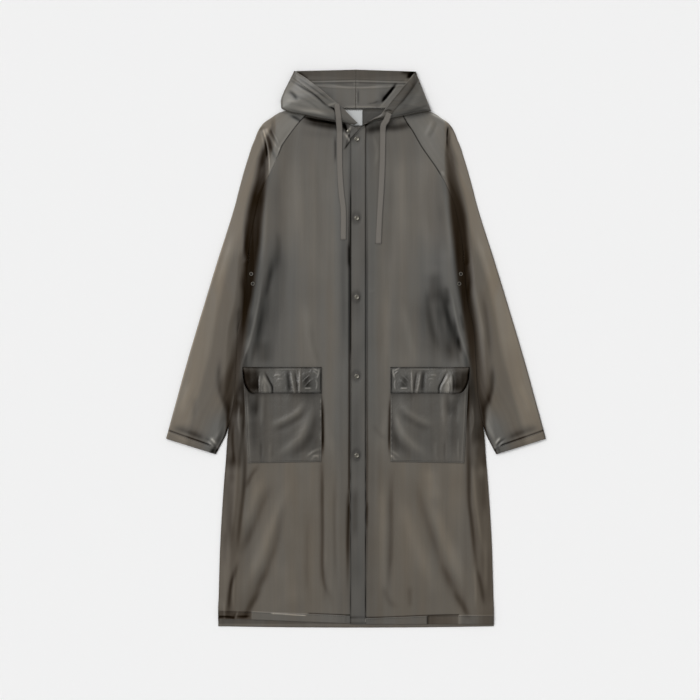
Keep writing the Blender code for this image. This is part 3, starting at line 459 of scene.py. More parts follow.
HOOD_LEFT_CREASES_AND_SHADING = (
    (4.05, -0.2, -0.14, (137, 609), (126, 582), (110, 560), (90, 535)),
    (5.62, 0.2, 0.06, (153, 596), (135, 566), (110, 537)),
    (2.02, 0.3, 0.26, (135, 625), (106, 591), (74, 557), (43, 524), (14, 501)),
    (2.25, -0.2, -0.1, (124, 605), (94, 569), (63, 533)),
    (6.75, 0.3, 0.05, (155, 587), (140, 560), (117, 533)),
    (5.85, -0.3, -0.07, (135, 578), (119, 551), (94, 528)),
    (3.6, -0.2, -0.1, (176, 553), (144, 539), (99, 526)),
    (2.7, 0, -0.2, (176, 538), (126, 528), (79, 518)),
    (1.8, 0, -0.22, (61, 529), (72, 534), (83, 530)),
)
HOOD_INSIDE_SHADING = (
    (4.5, 0, -0.42, (133, 629), (124, 617), (112, 604)),
    (3.6, 0, 0.16, (106, 600), (115, 605), (124, 609)),
    (5.4, 0, -0.25, (97, 626), (112, 622), (128, 615)),
    (2.25, 0, 0.12, (-117, 605), (-81, 575), (-50, 551)),
    (2.25, 0, 0.12, (-34, 544), (0, 544), (54, 544)),
    (2.25, 0, -0.16, (54, 560), (40, 553), (22, 551)),
    (2.7, 0, -0.34, (-135, 620), (-86, 582), (-43, 546)),
    (3.38, 0, -0.12, (-58, 596), (0, 590), (54, 593)),
    (2.7, 0, 0.12, (-9, 600), (0, 596), (9, 600)),
    (3.04, 0, -0.85, (93, 600), (79, 581), (70, 570), (55, 551)),
    (7.2, 0, -0.13, (70, 575), (61, 562), (50, 553), (36, 548)),
    (1.8, 0, 0.26, (101, 602), (82, 577), (65, 556), (43, 529)),
    (5.4, 0, 0.1, (115, 605), (92, 577), (70, 548), (43, 517)),
    (1.8, 0, -0.26, (5, 544), (5, 566), (5, 588)),
    (1.8, 0, 0.15, (-104, 597), (-58, 593), (-25, 589), (2, 588), (32, 589), (65, 593), (94, 597)),
    (9, 0, -0.08, (-90, 587), (-68, 575), (-45, 562)),
    (9, 0, -0.09, (81, 589), (65, 575), (50, 562)),
    (3.6, 0, -0.26, (-133, 623), (-122, 615), (-106, 606)),
)
BACK_CREASES = (
    (30, 0.5, 0, (-40, 430), (-130, 120)),
    (26, 0.5, 0, (50, 400), (120, 60)),
    (26, 0.6, 0, (-90, -80), (-190, -520)),
    (24, 0.6, 0, (80, -120), (170, -560)),
    (20, 0.4, 0, (0, -200), (10, -600)),
)
SLOPE_SHEEN = 0.5  # how much lighter a slope of 1 in 1 looks when it faces the light
LIGHT_WAY = (0.76, -0.65)  # the way that the light travels over the coat

# Painted shade in the hollow between the body and a sleeve, from the armhole to the cuff, for the shadow there and for
# the film that turns under in more layers: where it starts, as a half width, how light it is, and the widths of its
# dark part and of its fade into the sleeve
HOLLOW_COLUMNS = ("y", "start_x", "level", "dark", "fade")
HOLLOW_RIGHT_ROWS = (
    (500, 184, 0.45, 3, 6),
    (458, 187, 0.32, 14, 14),
    (425, 197, 0.29, 14, 18),
    (391, 199, 0.23, 16, 20),
    (340, 204, 0.18, 25, 20),
    (290, 210, 0.20, 29, 18),
    (240, 214, 0.19, 29, 15),
    (188, 221, 0.175, 24, 14),
    (155, 225, 0.175, 24, 16),
    (121, 230, 0.17, 20, 15),
    (53, 243, 0.21, 13, 18),
    (-14, 254, 0.26, 13, 20),
    (-81, 264, 0.31, 24, 26),
    (-115, 275, 0.28, 10, 22),
    (-149, 281, 0.20, 6, 9),
    (-185, 285, 0.18, 5, 6),
    (-240, 314, 0.22, 4, 5),
)
HOLLOW_LEFT_ROWS = (
    (500, 202, 0.50, 2, 4),
    (458, 203, 0.42, 5, 14),
    (425, 203, 0.38, 11, 20),
    (391, 204, 0.33, 13, 22),
    (340, 209, 0.26, 20, 22),
    (290, 213, 0.22, 28, 18),
    (222, 220, 0.20, 26, 20),
    (155, 227, 0.20, 26, 18),
    (121, 232, 0.19, 21, 20),
    (53, 242, 0.23, 19, 26),
    (-14, 253, 0.27, 15, 32),
    (-81, 265, 0.30, 10, 40),
    (-115, 273, 0.28, 11, 30),
    (-149, 280, 0.20, 6, 14),
    (-185, 285, 0.18, 5, 6),
    (-240, 314, 0.22, 4, 5),
)


def linear(code):
    """Linear red, green and blue of an sRGB hex colour: c / 12.92 up to 0.04045, ((c + 0.055) / 1.055) ^ 2.4 above."""
    parts = [int(code[i:i + 2], 16) / 255.0 for i in (1, 3, 5)]
    return tuple(c / 12.92 if c <= 0.04045 else ((c + 0.055) / 1.055) ** 2.4 for c in parts)


def length(name, text, value):
    return bpy.props.FloatProperty(
        name=name, description=text, default=value * MM, min=0.0, unit="LENGTH", precision=5)


def colour(name, text, code):
    return bpy.props.FloatVectorProperty(
        name=name, description=text, default=linear(code), size=3, min=0.0, max=1.0, subtype="COLOR")


class CoatSizes(bpy.types.PropertyGroup):
    """Sizes that can change without moving a piece off its solid."""

    film_wall: length("Film wall", "Thickness of one layer of film with its seam allowance", 0.9)
    hem_step: length("Hem step", "How far a turned hem, cuff or casing stands proud", 0.55)
    tape_width: length("Tape width", "Width of the flat drawstring", 14.0)
    tape_wall: length("Tape wall", "Thickness of the flat drawstring", 1.2)
    snap_radius: length("Snap radius", "Radius of a snap's cap", 5.75)
    eyelet_radius: length("Eyelet radius", "Radius of an underarm eyelet's bead", 3.6)
    stitch_length: length("Stitch length", "Length of one stitch", 3.2)
    stitch_gap: length("Stitch gap", "Space between two stitches", 1.2)
    thread_width: length("Thread width", "Width of the sewing thread", 0.8)


class CoatColours(bpy.types.PropertyGroup):
    """Colours of the coat's materials."""

    film_cool: colour("Film", "Film where many layers lie on each other", "#575550")
    film_warm: colour("Thin film", "Film where a pale surface shines through it", "#5c5346")
    # Painted shade: the colour that the film turns to where its lightness is painted dark, in the hollow beside each
    # sleeve and in dark creases, standing partly for shadow and partly for light passed through several layers
    film_shade: colour("Shaded film", "Film deep in a hollow, where the light has passed through it", "#664a28")
    tape: colour("Tape", "Woven drawstring", "#77726b")
    label: colour("Label", "Bare woven neck label", "#c4c6c6")
    snap: colour("Snap", "Painted snap and eyelet", "#6a675f")
    eyelet: colour("Eyelet", "Welded underarm eyelet", "#57534b")
    thread: colour("Thread", "Sewing thread", "#2b2926")
    floor: colour("Floor", "Plain pale floor", "#f6f6f6")


def sizes():
    return bpy.context.scene.coat_sizes


def colours():
    return bpy.context.scene.coat_colours


def eased(t):
    """0 to 1 with level ends: 3 t^2 - 2 t^3."""
    t = np.clip(t, 0.0, 1.0)
    return t * t * (3.0 - 2.0 * t)


def curve(xs, ys, at):
    """Smooth curve through rows: on each span a cubic whose end slopes are the harmonic mean of the slopes on
    both sides, and 0 where they differ in sign, so it never overshoots."""
    xs, ys = np.asarray(xs, float), np.asarray(ys, float)
    shape = (-1,) + (1,) * (ys.ndim - 1)
    rise = np.diff(ys, axis=0) / np.diff(xs).reshape(shape)
    both = rise[1:] * rise[:-1]
    mean = np.where(both > 0, 2.0 * both / np.where(both > 0, rise[1:] + rise[:-1], 1.0), 0.0)
    slope = np.concatenate([rise[:1], mean, rise[-1:]])
    at = np.asarray(at, float)
    k = np.clip(np.searchsorted(xs, at) - 1, 0, len(xs) - 2)
    span = xs[k + 1] - xs[k]
    t = np.clip((at - xs[k]) / span, 0.0, 1.0)
    if ys.ndim > 1:
        t, span = t.reshape(shape), span.reshape(shape)
    return (ys[k] * (1 + 2 * t) * (1 - t) ** 2 + span * slope[k] * t * (1 - t) ** 2
            + ys[k + 1] * t * t * (3 - 2 * t) + span * slope[k + 1] * t * t * (t - 1))


def columns(names, rows):
    """A table's columns by name, with the rows in rising order of the first one."""
    table = np.array(sorted(rows), float)
    return {name: table[:, i] for i, name in enumerate(names)}


LAY = columns(LAY_COLUMNS, LAY_ROWS)
ARM = columns(ARM_COLUMNS, ARM_ROWS)
TUBE = columns(TUBE_COLUMNS, TUBE_ROWS)
HOLLOWS = {1: columns(HOLLOW_COLUMNS, HOLLOW_LEFT_ROWS), -1: columns(HOLLOW_COLUMNS, HOLLOW_RIGHT_ROWS)}


def read(table, name, at):
    return curve(table["y"], table[name], at)


def smooth_path(points, count):
    """Points spaced evenly along a Catmull-Rom curve through the given ones."""
    points = np.array(points, float)
    ends = np.vstack([2 * points[0] - points[1], points, 2 * points[-1] - points[-2]])
    t = np.linspace(0.0, 1.0, 20, endpoint=False)[None, :, None]
    a, b, c, d = (ends[i:len(ends) - 3 + i, None] for i in range(4))
    cubic = (2 * a - 5 * b + 4 * c - d) * t**2 + (3 * b - a - 3 * c + d) * t**3
    fine = (0.5 * (2 * b + (c - a) * t + cubic)).reshape(-1, points.shape[1])
    fine = np.vstack([fine, points[-1:]])
    along = np.concatenate([[0.0], np.cumsum(np.linalg.norm(np.diff(fine, axis=0), axis=1))])
    at = np.linspace(0.0, along[-1], count)
    return np.stack([np.interp(at, along, fine[:, k]) for k in range(points.shape[1])], axis=1), at


def creases(x, y, rows):
    """Relief and look of a table of creases, the look being their painted highlight and shade: the sum over its
    lines of taper * exp(-(distance / width)^2), times the height and times the lightness. Distance is to the
    nearest of the line's pieces, and taper eases in and out over the line's first and last third."""
    x, y = np.broadcast_arrays(np.asarray(x, float), np.asarray(y, float))
    relief, look = np.zeros(x.shape), np.zeros(x.shape)
    for width, height, lightness, *line in rows:
        line = np.array(line, float)
        if len(line) > 2:
            line = smooth_path(line, 4 * len(line))[0]
        nearest, place, run = np.full(x.shape, np.inf), np.zeros(x.shape), 0.0
        for (x0, y0), (x1, y1) in zip(line[:-1], line[1:]):
            long = math.hypot(x1 - x0, y1 - y0)
            t = np.clip(((x - x0) * (x1 - x0) + (y - y0) * (y1 - y0)) / long**2, 0.0, 1.0)
            away = (x - x0 - t * (x1 - x0)) ** 2 + (y - y0 - t * (y1 - y0)) ** 2
            place = np.where(away < nearest, run + t * long, place)
            nearest = np.minimum(away, nearest)
            run += long
        shape = eased(3.0 * place / run) * eased(3.0 - 3.0 * place / run) * np.exp(-nearest / width**2)
        relief += height * shape
        look += lightness * shape
    return relief, look


def sheen(x, y, z):
    """How much lighter each point of a grid looks because its slope faces the light: the slope along the light's
    way, from the grid's own tangents."""
    across, down = (np.gradient(np.dstack([x, y, z]), axis=axis) for axis in (1, 0))
    normal = np.cross(across, down)
    normal /= np.maximum(np.linalg.norm(normal, axis=-1, keepdims=True), 1e-9)
    normal *= np.sign(normal[..., 2:])
    lean = -(normal[..., 0] * LIGHT_WAY[0] + normal[..., 1] * LIGHT_WAY[1])
    return SLOPE_SHEEN * np.clip(lean, -0.3, 0.3)


def front_base(x, y):
    """Height of the front layer: level along the middle, up to the crest, then down to the side edge, each
    eased from one to the next."""
    half = np.abs(x)
    crest_x, crest_z = read(LAY, "crest_x", y), read(LAY, "crest_z", y)
    edge_x, edge_z = read(LAY, "edge_x", y), read(LAY, "edge_z", y)
    inside = FRONT_Z + (crest_z - FRONT_Z) * eased((half - crest_x + CREST_RUN) / CREST_RUN)
    outside = crest_z + (edge_z - crest_z) * eased((half - crest_x) / (edge_x - crest_x))
    return np.where(half < crest_x, inside, outside)


def seam_x(side, y):
    return read(ARM, "seam_left_x" if side > 0 else "seam_right_x", y)


def front_relief(side, x, y):
    """Creases of a front, faded out at its seam, at its side edge and where the fronts lap."""
    outer = np.where(y > UNDERARM_Y, seam_x(side, y), read(LAY, "edge_x", y))
    fade = eased((outer - np.abs(x)) / 10.0) * eased((np.abs(x) - UNDERLAP_X) / 8.0)
    return creases(x, y, FRONT_LEFT_CREASES_AND_SHADING if side > 0 else FRONT_RIGHT_CREASES_AND_SHADING)[0] * fade


def front_top(side, x, y):
    """Upper surface of a front: the base, the creases, and on the wearer's left the lift over the underlap."""
    lift = OVERLAP_RISE * (1.0 - eased((x - UNDERLAP_X - 4.0) / 40.0)) if side > 0 else 0.0
    return front_base(x, y) + front_relief(side, x, y) + lift


def back_bottom(x, y):
    """Underside of the back: on the surface, but lifted where a sleeve's inner fold lies beneath it."""
    edge = read(LAY, "edge_x", y)
    tucked = np.where(y > UNDERARM_Y, edge, np.minimum(edge, read(TUBE, "inner_x", y)))
    return read(LAY, "back_z", y) * eased((np.abs(x) - tucked + TUCK_CLEAR + 28.0) / 26.0)


def sleeve_top(x, y):
    """Upper surface of a sleeve below the underarm: pressed flat at the body's edge, then full."""
    out = np.abs(x) - read(LAY, "edge_x", y) - 4.0
    return TUCK_Z + (SLEEVE_Z - TUCK_Z) * eased(out / 20.0)


def grid_points(x, y, z):
    return np.stack(np.broadcast_arrays(x, y, z), axis=-1).astype(float)


def arc_lengths(grid):
    """Distance along each row and down each column from the grid's first point, as the film's own pattern."""
    across = np.cumsum(np.linalg.norm(np.diff(grid, axis=1, prepend=grid[:, :1]), axis=2), axis=1)
    down = np.cumsum(np.linalg.norm(np.diff(grid, axis=0, prepend=grid[:1]), axis=2), axis=0)
    return np.stack([across, down], axis=-1) * MM


def put(name, points, faces, material, smooth=True):
    """A mesh object at the origin, its points given in millimetres."""
    mesh = bpy.data.meshes.new(name)
    mesh.from_pydata((np.asarray(points).reshape(-1, 3) * MM).tolist(), [], np.asarray(faces).tolist())
    mesh.polygons.foreach_set("use_smooth", [smooth] * len(mesh.polygons))
    mesh.materials.append(material)
    mesh.update()
    made = bpy.data.objects.new(name, mesh)
    bpy.context.scene.collection.objects.link(made)
    return made


def grid_faces(rows, count, flip=False, loop=False):
    """Four-sided faces between neighbouring rows and columns; loop joins the last column to the first."""
    i, j = np.meshgrid(np.arange(rows - 1), np.arange(count if loop else count - 1), indexing="ij")
    k = (j + 1) % count
    faces = np.stack([i * count + j, i * count + k, (i + 1) * count + k, (i + 1) * count + j], axis=-1)
    faces = faces.reshape(-1, 4)
    return faces[:, ::-1] if flip else faces


def film_sheet(name, grid, cast, material, flip=False, wall=None, weld=False):
    """One cut piece of film. The grid is its outer face, cast is its look at each point (lightness, which holds
    painted light and shade, warmth, crinkle), and Solidify puts the wall behind it."""
    rows, count = grid.shape[:2]
    made = put(name, grid, grid_faces(rows, count, flip), material)
    mesh = made.data
    look = np.ones((rows * count, 4), np.float32)
    look[:, :3] = np.clip(np.stack(np.broadcast_arrays(*cast), axis=-1), 0.0, 1.0).reshape(-1, 3)
    mesh.color_attributes.new("cast", "FLOAT_COLOR", "POINT").data.foreach_set("color", look.ravel())
    corner = np.zeros(len(mesh.loops), np.int32)
    mesh.loops.foreach_get("vertex_index", corner)
    flat = arc_lengths(grid).reshape(-1, 2)[corner]
    mesh.uv_layers.new(name="flat").data.foreach_set("uv", flat.astype(np.float32).ravel())
    if weld:
        joined = made.modifiers.new("weld", "WELD")
        joined.merge_threshold = 0.00001
    thick = made.modifiers.new("wall", "SOLIDIFY")
    thick.offset = -1.0
    thick.use_quality_normals = True
    thick.thickness = sizes().film_wall if wall is None else wall
    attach(made, "root")
    return made


def declare(nodes):
    """Hides the solids that a cloth piece stands for."""
    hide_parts(*nodes)


# Materials


def add_node(tree, kind, inputs=None, **settings):
    """Adds a node with its settings. inputs maps a socket to a value, or to the output that feeds it."""
    made = tree.nodes.new("ShaderNode" + kind)
    for name, value in settings.items():
        setattr(made, name, value)
    for name, value in (inputs or {}).items():
        if isinstance(value, bpy.types.NodeSocket):
            tree.links.new(value, made.inputs[name])
        else:
            made.inputs[name].default_value = value
    return made


def new_material(name):
    """An empty material with a Principled shader on its output."""
    made = bpy.data.materials.new(name)
    made.use_nodes = True
    made.node_tree.nodes.clear()
    shader = add_node(made.node_tree, "BsdfPrincipled")
    add_node(made.node_tree, "OutputMaterial", {"Surface": shader.outputs[0]})
    return made, made.node_tree, shader


def ramp(tree, factor, dark, tone, steps):
    """A colour ramp from nearly black to lighter than the tone; its low half turns towards the dark tone."""
    made = add_node(tree, "ValToRGB", {"Fac": factor})
    stops = made.color_ramp.elements
    while len(stops) < len(steps):
        stops.new(0.5)
    for stop, (place, gain) in zip(stops, steps):
        stop.position = place
        part = min(1.0, place / 0.5)
        stop.color = (*(min(1.0, gain * (d + (c - d) * part)) for d, c in zip(dark, tone)), 1.0)
    return made.outputs["Color"]


FILM_STEPS = ((0.0, 0.0), (0.14, 0.07), (0.26, 0.19), (0.4, 0.42), (0.6, 0.95), (0.8, 1.75), (1.0, 3.6))


def film_material(name, crinkle_mm, gloss, size_mm=28.0):
    """Calendered EVA film, 0.2 mm thick. It is smoke-grey, clear enough that a pale floor warms it where only a
    few layers lie on each other, satin from its matt roller, with faint lines along the web."""
    made, tree, shader = new_material(name)
    # The cast attribute holds the lightness, with the pieces' painted light and shade, then the warmth and the crinkle
    cast = add_node(tree, "Attribute", attribute_name="cast")
    parts = add_node(tree, "SeparateColor", {"Color": cast.outputs["Color"]}).outputs
    flat = add_node(tree, "UVMap", uv_map="flat").outputs["UV"]
    web = add_node(tree, "Mapping", {"Vector": flat, "Scale": (1 / 0.014, 1 / 0.5, 1.0)}).outputs["Vector"]
    lines = add_node(tree, "TexNoise", {"Vector": web, "Scale": 1.0, "Detail": 3.0, "Roughness": 0.6})
    place = add_node(tree, "TexCoord").outputs["Object"]
    cloud = add_node(tree, "TexNoise", {"Vector": place, "Scale": 1 / 0.09, "Detail": 4.0, "Roughness": 0.55})
    drift = add_node(tree, "Math", {0: lines.outputs["Fac"], 1: 0.115, 2: parts["Red"]}, operation="MULTIPLY_ADD")
    drift = add_node(tree, "Math", {0: cloud.outputs["Fac"], 1: 0.07, 2: drift.outputs[0]},
                     operation="MULTIPLY_ADD")
    level = add_node(tree, "Math", {0: drift.outputs[0], 1: 0.0925}, operation="SUBTRACT").outputs[0]
    cool = ramp(tree, level, colours().film_cool, colours().film_cool, FILM_STEPS)
    warm = ramp(tree, level, colours().film_shade, colours().film_warm, FILM_STEPS)
    veil = add_node(tree, "Mapping", {"Vector": flat, "Scale": (1 / 0.035, 1 / 0.3, 1.0)}).outputs["Vector"]
    veil = add_node(tree, "TexNoise", {"Vector": veil, "Scale": 1.0, "Detail": 3.0, "Roughness": 0.5})
    tint = add_node(tree, "MapRange", {0: veil.outputs["Fac"], 1: 0.3, 2: 0.7, 3: -0.22, 4: 0.22})
    tint = add_node(tree, "Math", {0: parts["Green"], 1: tint.outputs[0]}, operation="ADD", use_clamp=True)
    mixed = add_node(tree, "Mix", {0: tint.outputs[0], 6: cool, 7: warm}, data_type="RGBA")
    tree.links.new(mixed.outputs[2], shader.inputs["Base Color"])
    rough = add_node(tree, "MapRange", {0: cloud.outputs["Fac"], 1: 0.3, 2: 0.7, 3: gloss, 4: gloss + 0.12})
    tree.links.new(rough.outputs[0], shader.inputs["Roughness"])
    gleam = add_node(tree, "MapRange", {0: level, 1: 0.18, 2: 0.5, 3: 0.0, 4: 0.5})
    tree.links.new(gleam.outputs[0], shader.inputs["Specular IOR Level"])
    shape = add_node(tree, "TexNoise", {
        "Vector": place, "Scale": 1 / (size_mm * MM), "Detail": 5.0, "Roughness": 0.55, "Distortion": 0.8})
    ridged = add_node(tree, "Math", {0: shape.outputs["Fac"], 1: parts["Blue"]}, operation="MULTIPLY")
    grain = add_node(tree, "TexNoise", {"Vector": place, "Scale": 1 / 0.0022, "Detail": 2.0})
    fine = add_node(tree, "Bump", {"Strength": 0.10, "Distance": 0.0003, "Height": grain.outputs["Fac"]})
    soft = add_node(tree, "Bump", {
        "Strength": 1.0, "Distance": crinkle_mm * MM, "Height": ridged.outputs[0], "Normal": fine.outputs[0]})
    tree.links.new(soft.outputs[0], shader.inputs["Normal"])
    return made


def tape_material():
    """Plain-woven polyester tape: a matt ribbon with fine ribs across it. Its ribs are 0.7 mm apart and are drawn
    at 1.8 mm so that they show."""
    made, tree, shader = new_material("woven polyester tape")
    flat = add_node(tree, "UVMap", uv_map="flat").outputs["UV"]
    ribs = add_node(tree, "TexWave", {"Vector": flat, "Scale": 0.314 / 0.0018, "Distortion": 0.6, "Detail": 2.0},
                    wave_type="BANDS", bands_direction="Y")
    warp = add_node(tree, "TexWave", {"Vector": flat, "Scale": 0.314 / 0.0016, "Distortion": 0.4},
                    wave_type="BANDS", bands_direction="X")
    weave = add_node(tree, "Math", {0: ribs.outputs["Fac"], 1: warp.outputs["Fac"]}, operation="MULTIPLY")
    dark = tuple(c * 0.72 for c in colours().tape)
    tone = add_node(tree, "Mix", {0: weave.outputs[0], 6: (*dark, 1), 7: (*colours().tape, 1)}, data_type="RGBA")
    # Painted shade along both long edges of the tape: the last 1.6 mm on each side darken towards a deep brown
    side = add_node(tree, "SeparateXYZ", {"Vector": flat}).outputs["X"]
    side = add_node(tree, "Math", {0: side}, operation="ABSOLUTE").outputs[0]
    edge_shade = add_node(tree, "MapRange", {0: side, 1: 0.0050, 2: 0.0066, 3: 0.0, 4: 0.6}).outputs[0]
    tone = add_node(tree, "Mix", {0: edge_shade, 6: tone.outputs[2], 7: (*(c * 0.3 for c in dark), 1)},
                    data_type="RGBA")
    tree.links.new(tone.outputs[2], shader.inputs["Base Color"])
    shader.inputs["Roughness"].default_value = 0.85
    shader.inputs["Sheen Weight"].default_value = 0.25
    bump = add_node(tree, "Bump", {"Strength": 0.5, "Distance": 0.0003, "Height": weave.outputs[0]})
    tree.links.new(bump.outputs[0], shader.inputs["Normal"])
    return made


def label_material():
    """Damask-woven polyester label: pale, flat and slightly silky, with a fine weave."""
    made, tree, shader = new_material("damask woven label")
    flat = add_node(tree, "UVMap", uv_map="flat").outputs["UV"]
    warp = add_node(tree, "TexWave", {"Vector": flat, "Scale": 0.314 / 0.0012, "Distortion": 0.3},
                    wave_type="BANDS", bands_direction="X")
    weft = add_node(tree, "TexWave", {"Vector": flat, "Scale": 0.314 / 0.0012, "Distortion": 0.3},
                    wave_type="BANDS", bands_direction="Y")
    weave = add_node(tree, "Math", {0: warp.outputs["Fac"], 1: weft.outputs["Fac"]}, operation="MULTIPLY")
    dark = tuple(c * 0.86 for c in colours().label)
    tone = add_node(tree, "Mix", {0: weave.outputs[0], 6: (*dark, 1), 7: (*colours().label, 1)},
                    data_type="RGBA")
    tree.links.new(tone.outputs[2], shader.inputs["Base Color"])
    shader.inputs["Roughness"].default_value = 0.65
    shader.inputs["Sheen Weight"].default_value = 0.2
    bump = add_node(tree, "Bump", {"Strength": 0.3, "Distance": 0.0002, "Height": weave.outputs[0]})
    tree.links.new(bump.outputs[0], shader.inputs["Normal"])
    return made


def snap_material():
    """Painted brass cap: a dark satin lacquer with small scuffs where the metal shows through."""
    made, tree, shader = new_material("lacquered brass")
    place = add_node(tree, "TexCoord").outputs["Object"]
    scuff = add_node(tree, "TexNoise", {"Vector": place, "Scale": 1 / 0.0015, "Detail": 4.0, "Roughness": 0.7})
    worn = add_node(tree, "MapRange", {0: scuff.outputs["Fac"], 1: 0.56, 2: 0.7, 3: 0.0, 4: 1.0})
    tone = add_node(tree, "Mix", {0: worn.outputs[0], 6: (*colours().snap, 1), 7: (*linear("#8f8a80"), 1)},
                    data_type="RGBA")
    tree.links.new(tone.outputs[2], shader.inputs["Base Color"])
    rough = add_node(tree, "MapRange", {0: scuff.outputs["Fac"], 1: 0.3, 2: 0.7, 3: 0.16, 4: 0.34})
    tree.links.new(rough.outputs[0], shader.inputs["Roughness"])
    shader.inputs["Metallic"].default_value = 0.85
    return made


def eyelet_material():
    """Welded EVA eyelet: the same film in a solid bead, dark and satin."""
    made, tree, shader = new_material("welded EVA eyelet")
    place = add_node(tree, "TexCoord").outputs["Object"]
    cloud = add_node(tree, "TexNoise", {"Vector": place, "Scale": 1 / 0.003, "Detail": 2.0})
    bead = colours().eyelet
    tree.links.new(ramp(tree, cloud.outputs["Fac"], bead, bead, ((0.0, 0.7), (1.0, 1.3))), shader.inputs["Base Color"])
    shader.inputs["Roughness"].default_value = 0.38
    return made


def thread_material():
    """Spun polyester sewing thread: matt, with its ply drawn as a slant band every 1.2 mm."""
    made, tree, shader = new_material("polyester sewing thread")
    place = add_node(tree, "TexCoord").outputs["Object"]
    ply = add_node(tree, "TexWave", {"Vector": place, "Scale": 0.314 / 0.0012}, bands_direction="DIAGONAL")
    dark = tuple(c * 0.7 for c in colours().thread)
    tone = add_node(tree, "Mix", {0: ply.outputs["Fac"], 6: (*dark, 1), 7: (*colours().thread, 1)},
                    data_type="RGBA")
    tree.links.new(tone.outputs[2], shader.inputs["Base Color"])
    shader.inputs["Roughness"].default_value = 0.8
    return made


def hole_material():
    """Nothing but shade inside an eyelet."""
    made, tree, shader = new_material("shaded hole")
    place = add_node(tree, "TexCoord").outputs["Object"]
    shade = add_node(tree, "TexNoise", {"Vector": place, "Scale": 1 / 0.004})
    tone = ramp(tree, shade.outputs["Fac"], linear("#1c1915"), linear("#1c1915"), ((0.0, 0.6), (1.0, 1.2)))
    tree.links.new(tone, shader.inputs["Base Color"])
    shader.inputs["Roughness"].default_value = 0.9
    return made


def floor_material():
    """Matt white paper sweep."""
    made, tree, shader = new_material("matt paper sweep")
    place = add_node(tree, "TexCoord").outputs["Object"]
    tooth = add_node(tree, "TexNoise", {"Vector": place, "Scale": 1 / 0.6, "Detail": 2.0})
    tone = ramp(tree, tooth.outputs["Fac"], colours().floor, colours().floor, ((0.0, 0.995), (1.0, 1.0)))
    tree.links.new(tone, shader.inputs["Base Color"])
    shader.inputs["Roughness"].default_value = 0.9
    shader.inputs["Specular IOR Level"].default_value = 0.1
    return made


MAKERS = {
    "body": lambda: film_material("calendered EVA film, body", 0.5, 0.34),
    "sleeve": lambda: film_material("calendered EVA film, sleeve", 0.5, 0.36),
    "hood": lambda: film_material("calendered EVA film, hood", 0.5, 0.34),
    "pocket": lambda: film_material("calendered EVA film, pocket", 0.9, 0.28),
    "flap": lambda: film_material("calendered EVA film, flap", 1.0, 0.24, 14.0),
    "tape": tape_material,
    "label": label_material,
    "snap": snap_material,
    "eyelet": eyelet_material,
    "thread": thread_material,
    "hole": hole_material,
    "floor": floor_material,
}
MADE = {}


def finish(name):
    """A material by its short name, made once."""
    if name not in MADE:
        MADE[name] = MAKERS[name]()
    return MADE[name]


# Body


def window(value, low, high, soft):
    """1 between low and high, easing to 0 over a soft margin outside them."""
    return eased((value - low + soft) / soft) * eased((high + soft - value) / soft)


# Painted shadow lines along the raglan seams, on the fronts and sleeves, stop below these heights.
SEAM_SHADOW_ENDS = {1: 385.0, -1: 428.0}  # the height below which a raglan seam lies open and flat


def hollow(side, half, y):
    """How deep in the hollow beside a sleeve each point lies, from 0 to 1, and how light the painted shade is there.
    """
    start, dark, fade, level = (read(HOLLOWS[side], name, y) for name in ("start_x", "dark", "fade", "level"))
    inside = eased((half - start + 8.0) / 16.0) * eased((start + dark + fade - half) / fade)
    return inside * eased((525.0 - y) / 30.0), level


def front_cast(side, x, y, z):
    """Look of a front: lightest on the chest, darker in a band down each side where sleeve, front and back lie
    in four layers, warmer below, with painted shade on the slope beyond the crest and under the hood, painted
    highlight and shade along its creases, a painted shadow line at the raglan seam, painted light on slopes that
    face the light, and painted shade in the hollow beside the sleeve."""
    half = np.abs(x)
    low = eased((-y - 150.0) / 150.0)
    band = eased((half - 105.0) / 75.0) * window(y, -60.0, 190.0, 90.0)
    outer = eased((half - read(LAY, "crest_x", y) + 16.0) / 12.0)
    light = 0.61 - 0.02 * low - 0.07 * band - 0.05 * window(half, 0.0, 34.0, 10.0)
    # Painted shade on the slope from the crest down to the side edge, and on the upper chest under the hood
    light = light - 0.06 * outer * window(y, 150.0, 480.0, 60.0) - 0.06 * outer * eased((-y - 40.0) / 50.0)
    light = light - 0.18 * outer * window(y, -250.0, -20.0, 30.0) - 0.04 * eased((half - 232.0) / 14.0) * low
    light = light - 0.05 * eased((y - 400.0) / 60.0)
    # Painted highlight and shade along the creases, and a painted shadow line along the raglan seam
    look = creases(x, y, FRONT_LEFT_CREASES_AND_SHADING if side > 0 else FRONT_RIGHT_CREASES_AND_SHADING)[1]
    to_seam = (seam_x(side, y) - GAP / 2 - half) * (0.80 if side > 0 else 0.87)
    seam_end = SEAM_SHADOW_ENDS[side]
    light = light + look - (0.42 if side > 0 else 0.36) * np.exp(-(to_seam / 1.3) ** 2) * eased((y - seam_end) / 12.0)
    warm = 0.40 + 0.35 * low - 0.35 * band - 0.3 * window(half, 0.0, 40.0, 16.0)
    warm = warm + 0.3 * outer * eased((-y - 20.0) / 60.0) - 0.35 * outer * window(y, 100.0, 500.0, 60.0)
    warm = warm + 1.6 * np.clip(-look, 0.0, 0.25) * eased((50.0 - y) / 80.0)
    # Painted shade in the hollow beside the sleeve, and painted light on slopes that face the light
    inside, level = hollow(side, half, y)
    light = light + (level - light) * inside + sheen(x, y, z) * (1.0 - inside)
    return light, warm + (1.0 - warm) * inside, 0.2 + 0.0 * x


def front_outline(side, rows):
    """Half widths of a front's free and outer edges at each row, and how its top rows follow the neck edge."""
    neck = NECK_LEFT_ROWS if side > 0 else NECK_RIGHT_ROWS
    free = FREE_EDGE_X if side > 0 else -UNDERLAP_X
    outer = np.where(rows > UNDERARM_Y, seam_x(side, rows), read(LAY, "edge_x", rows)) - GAP / 2
    table = columns(("x", "y"), neck)
    return free, outer, table


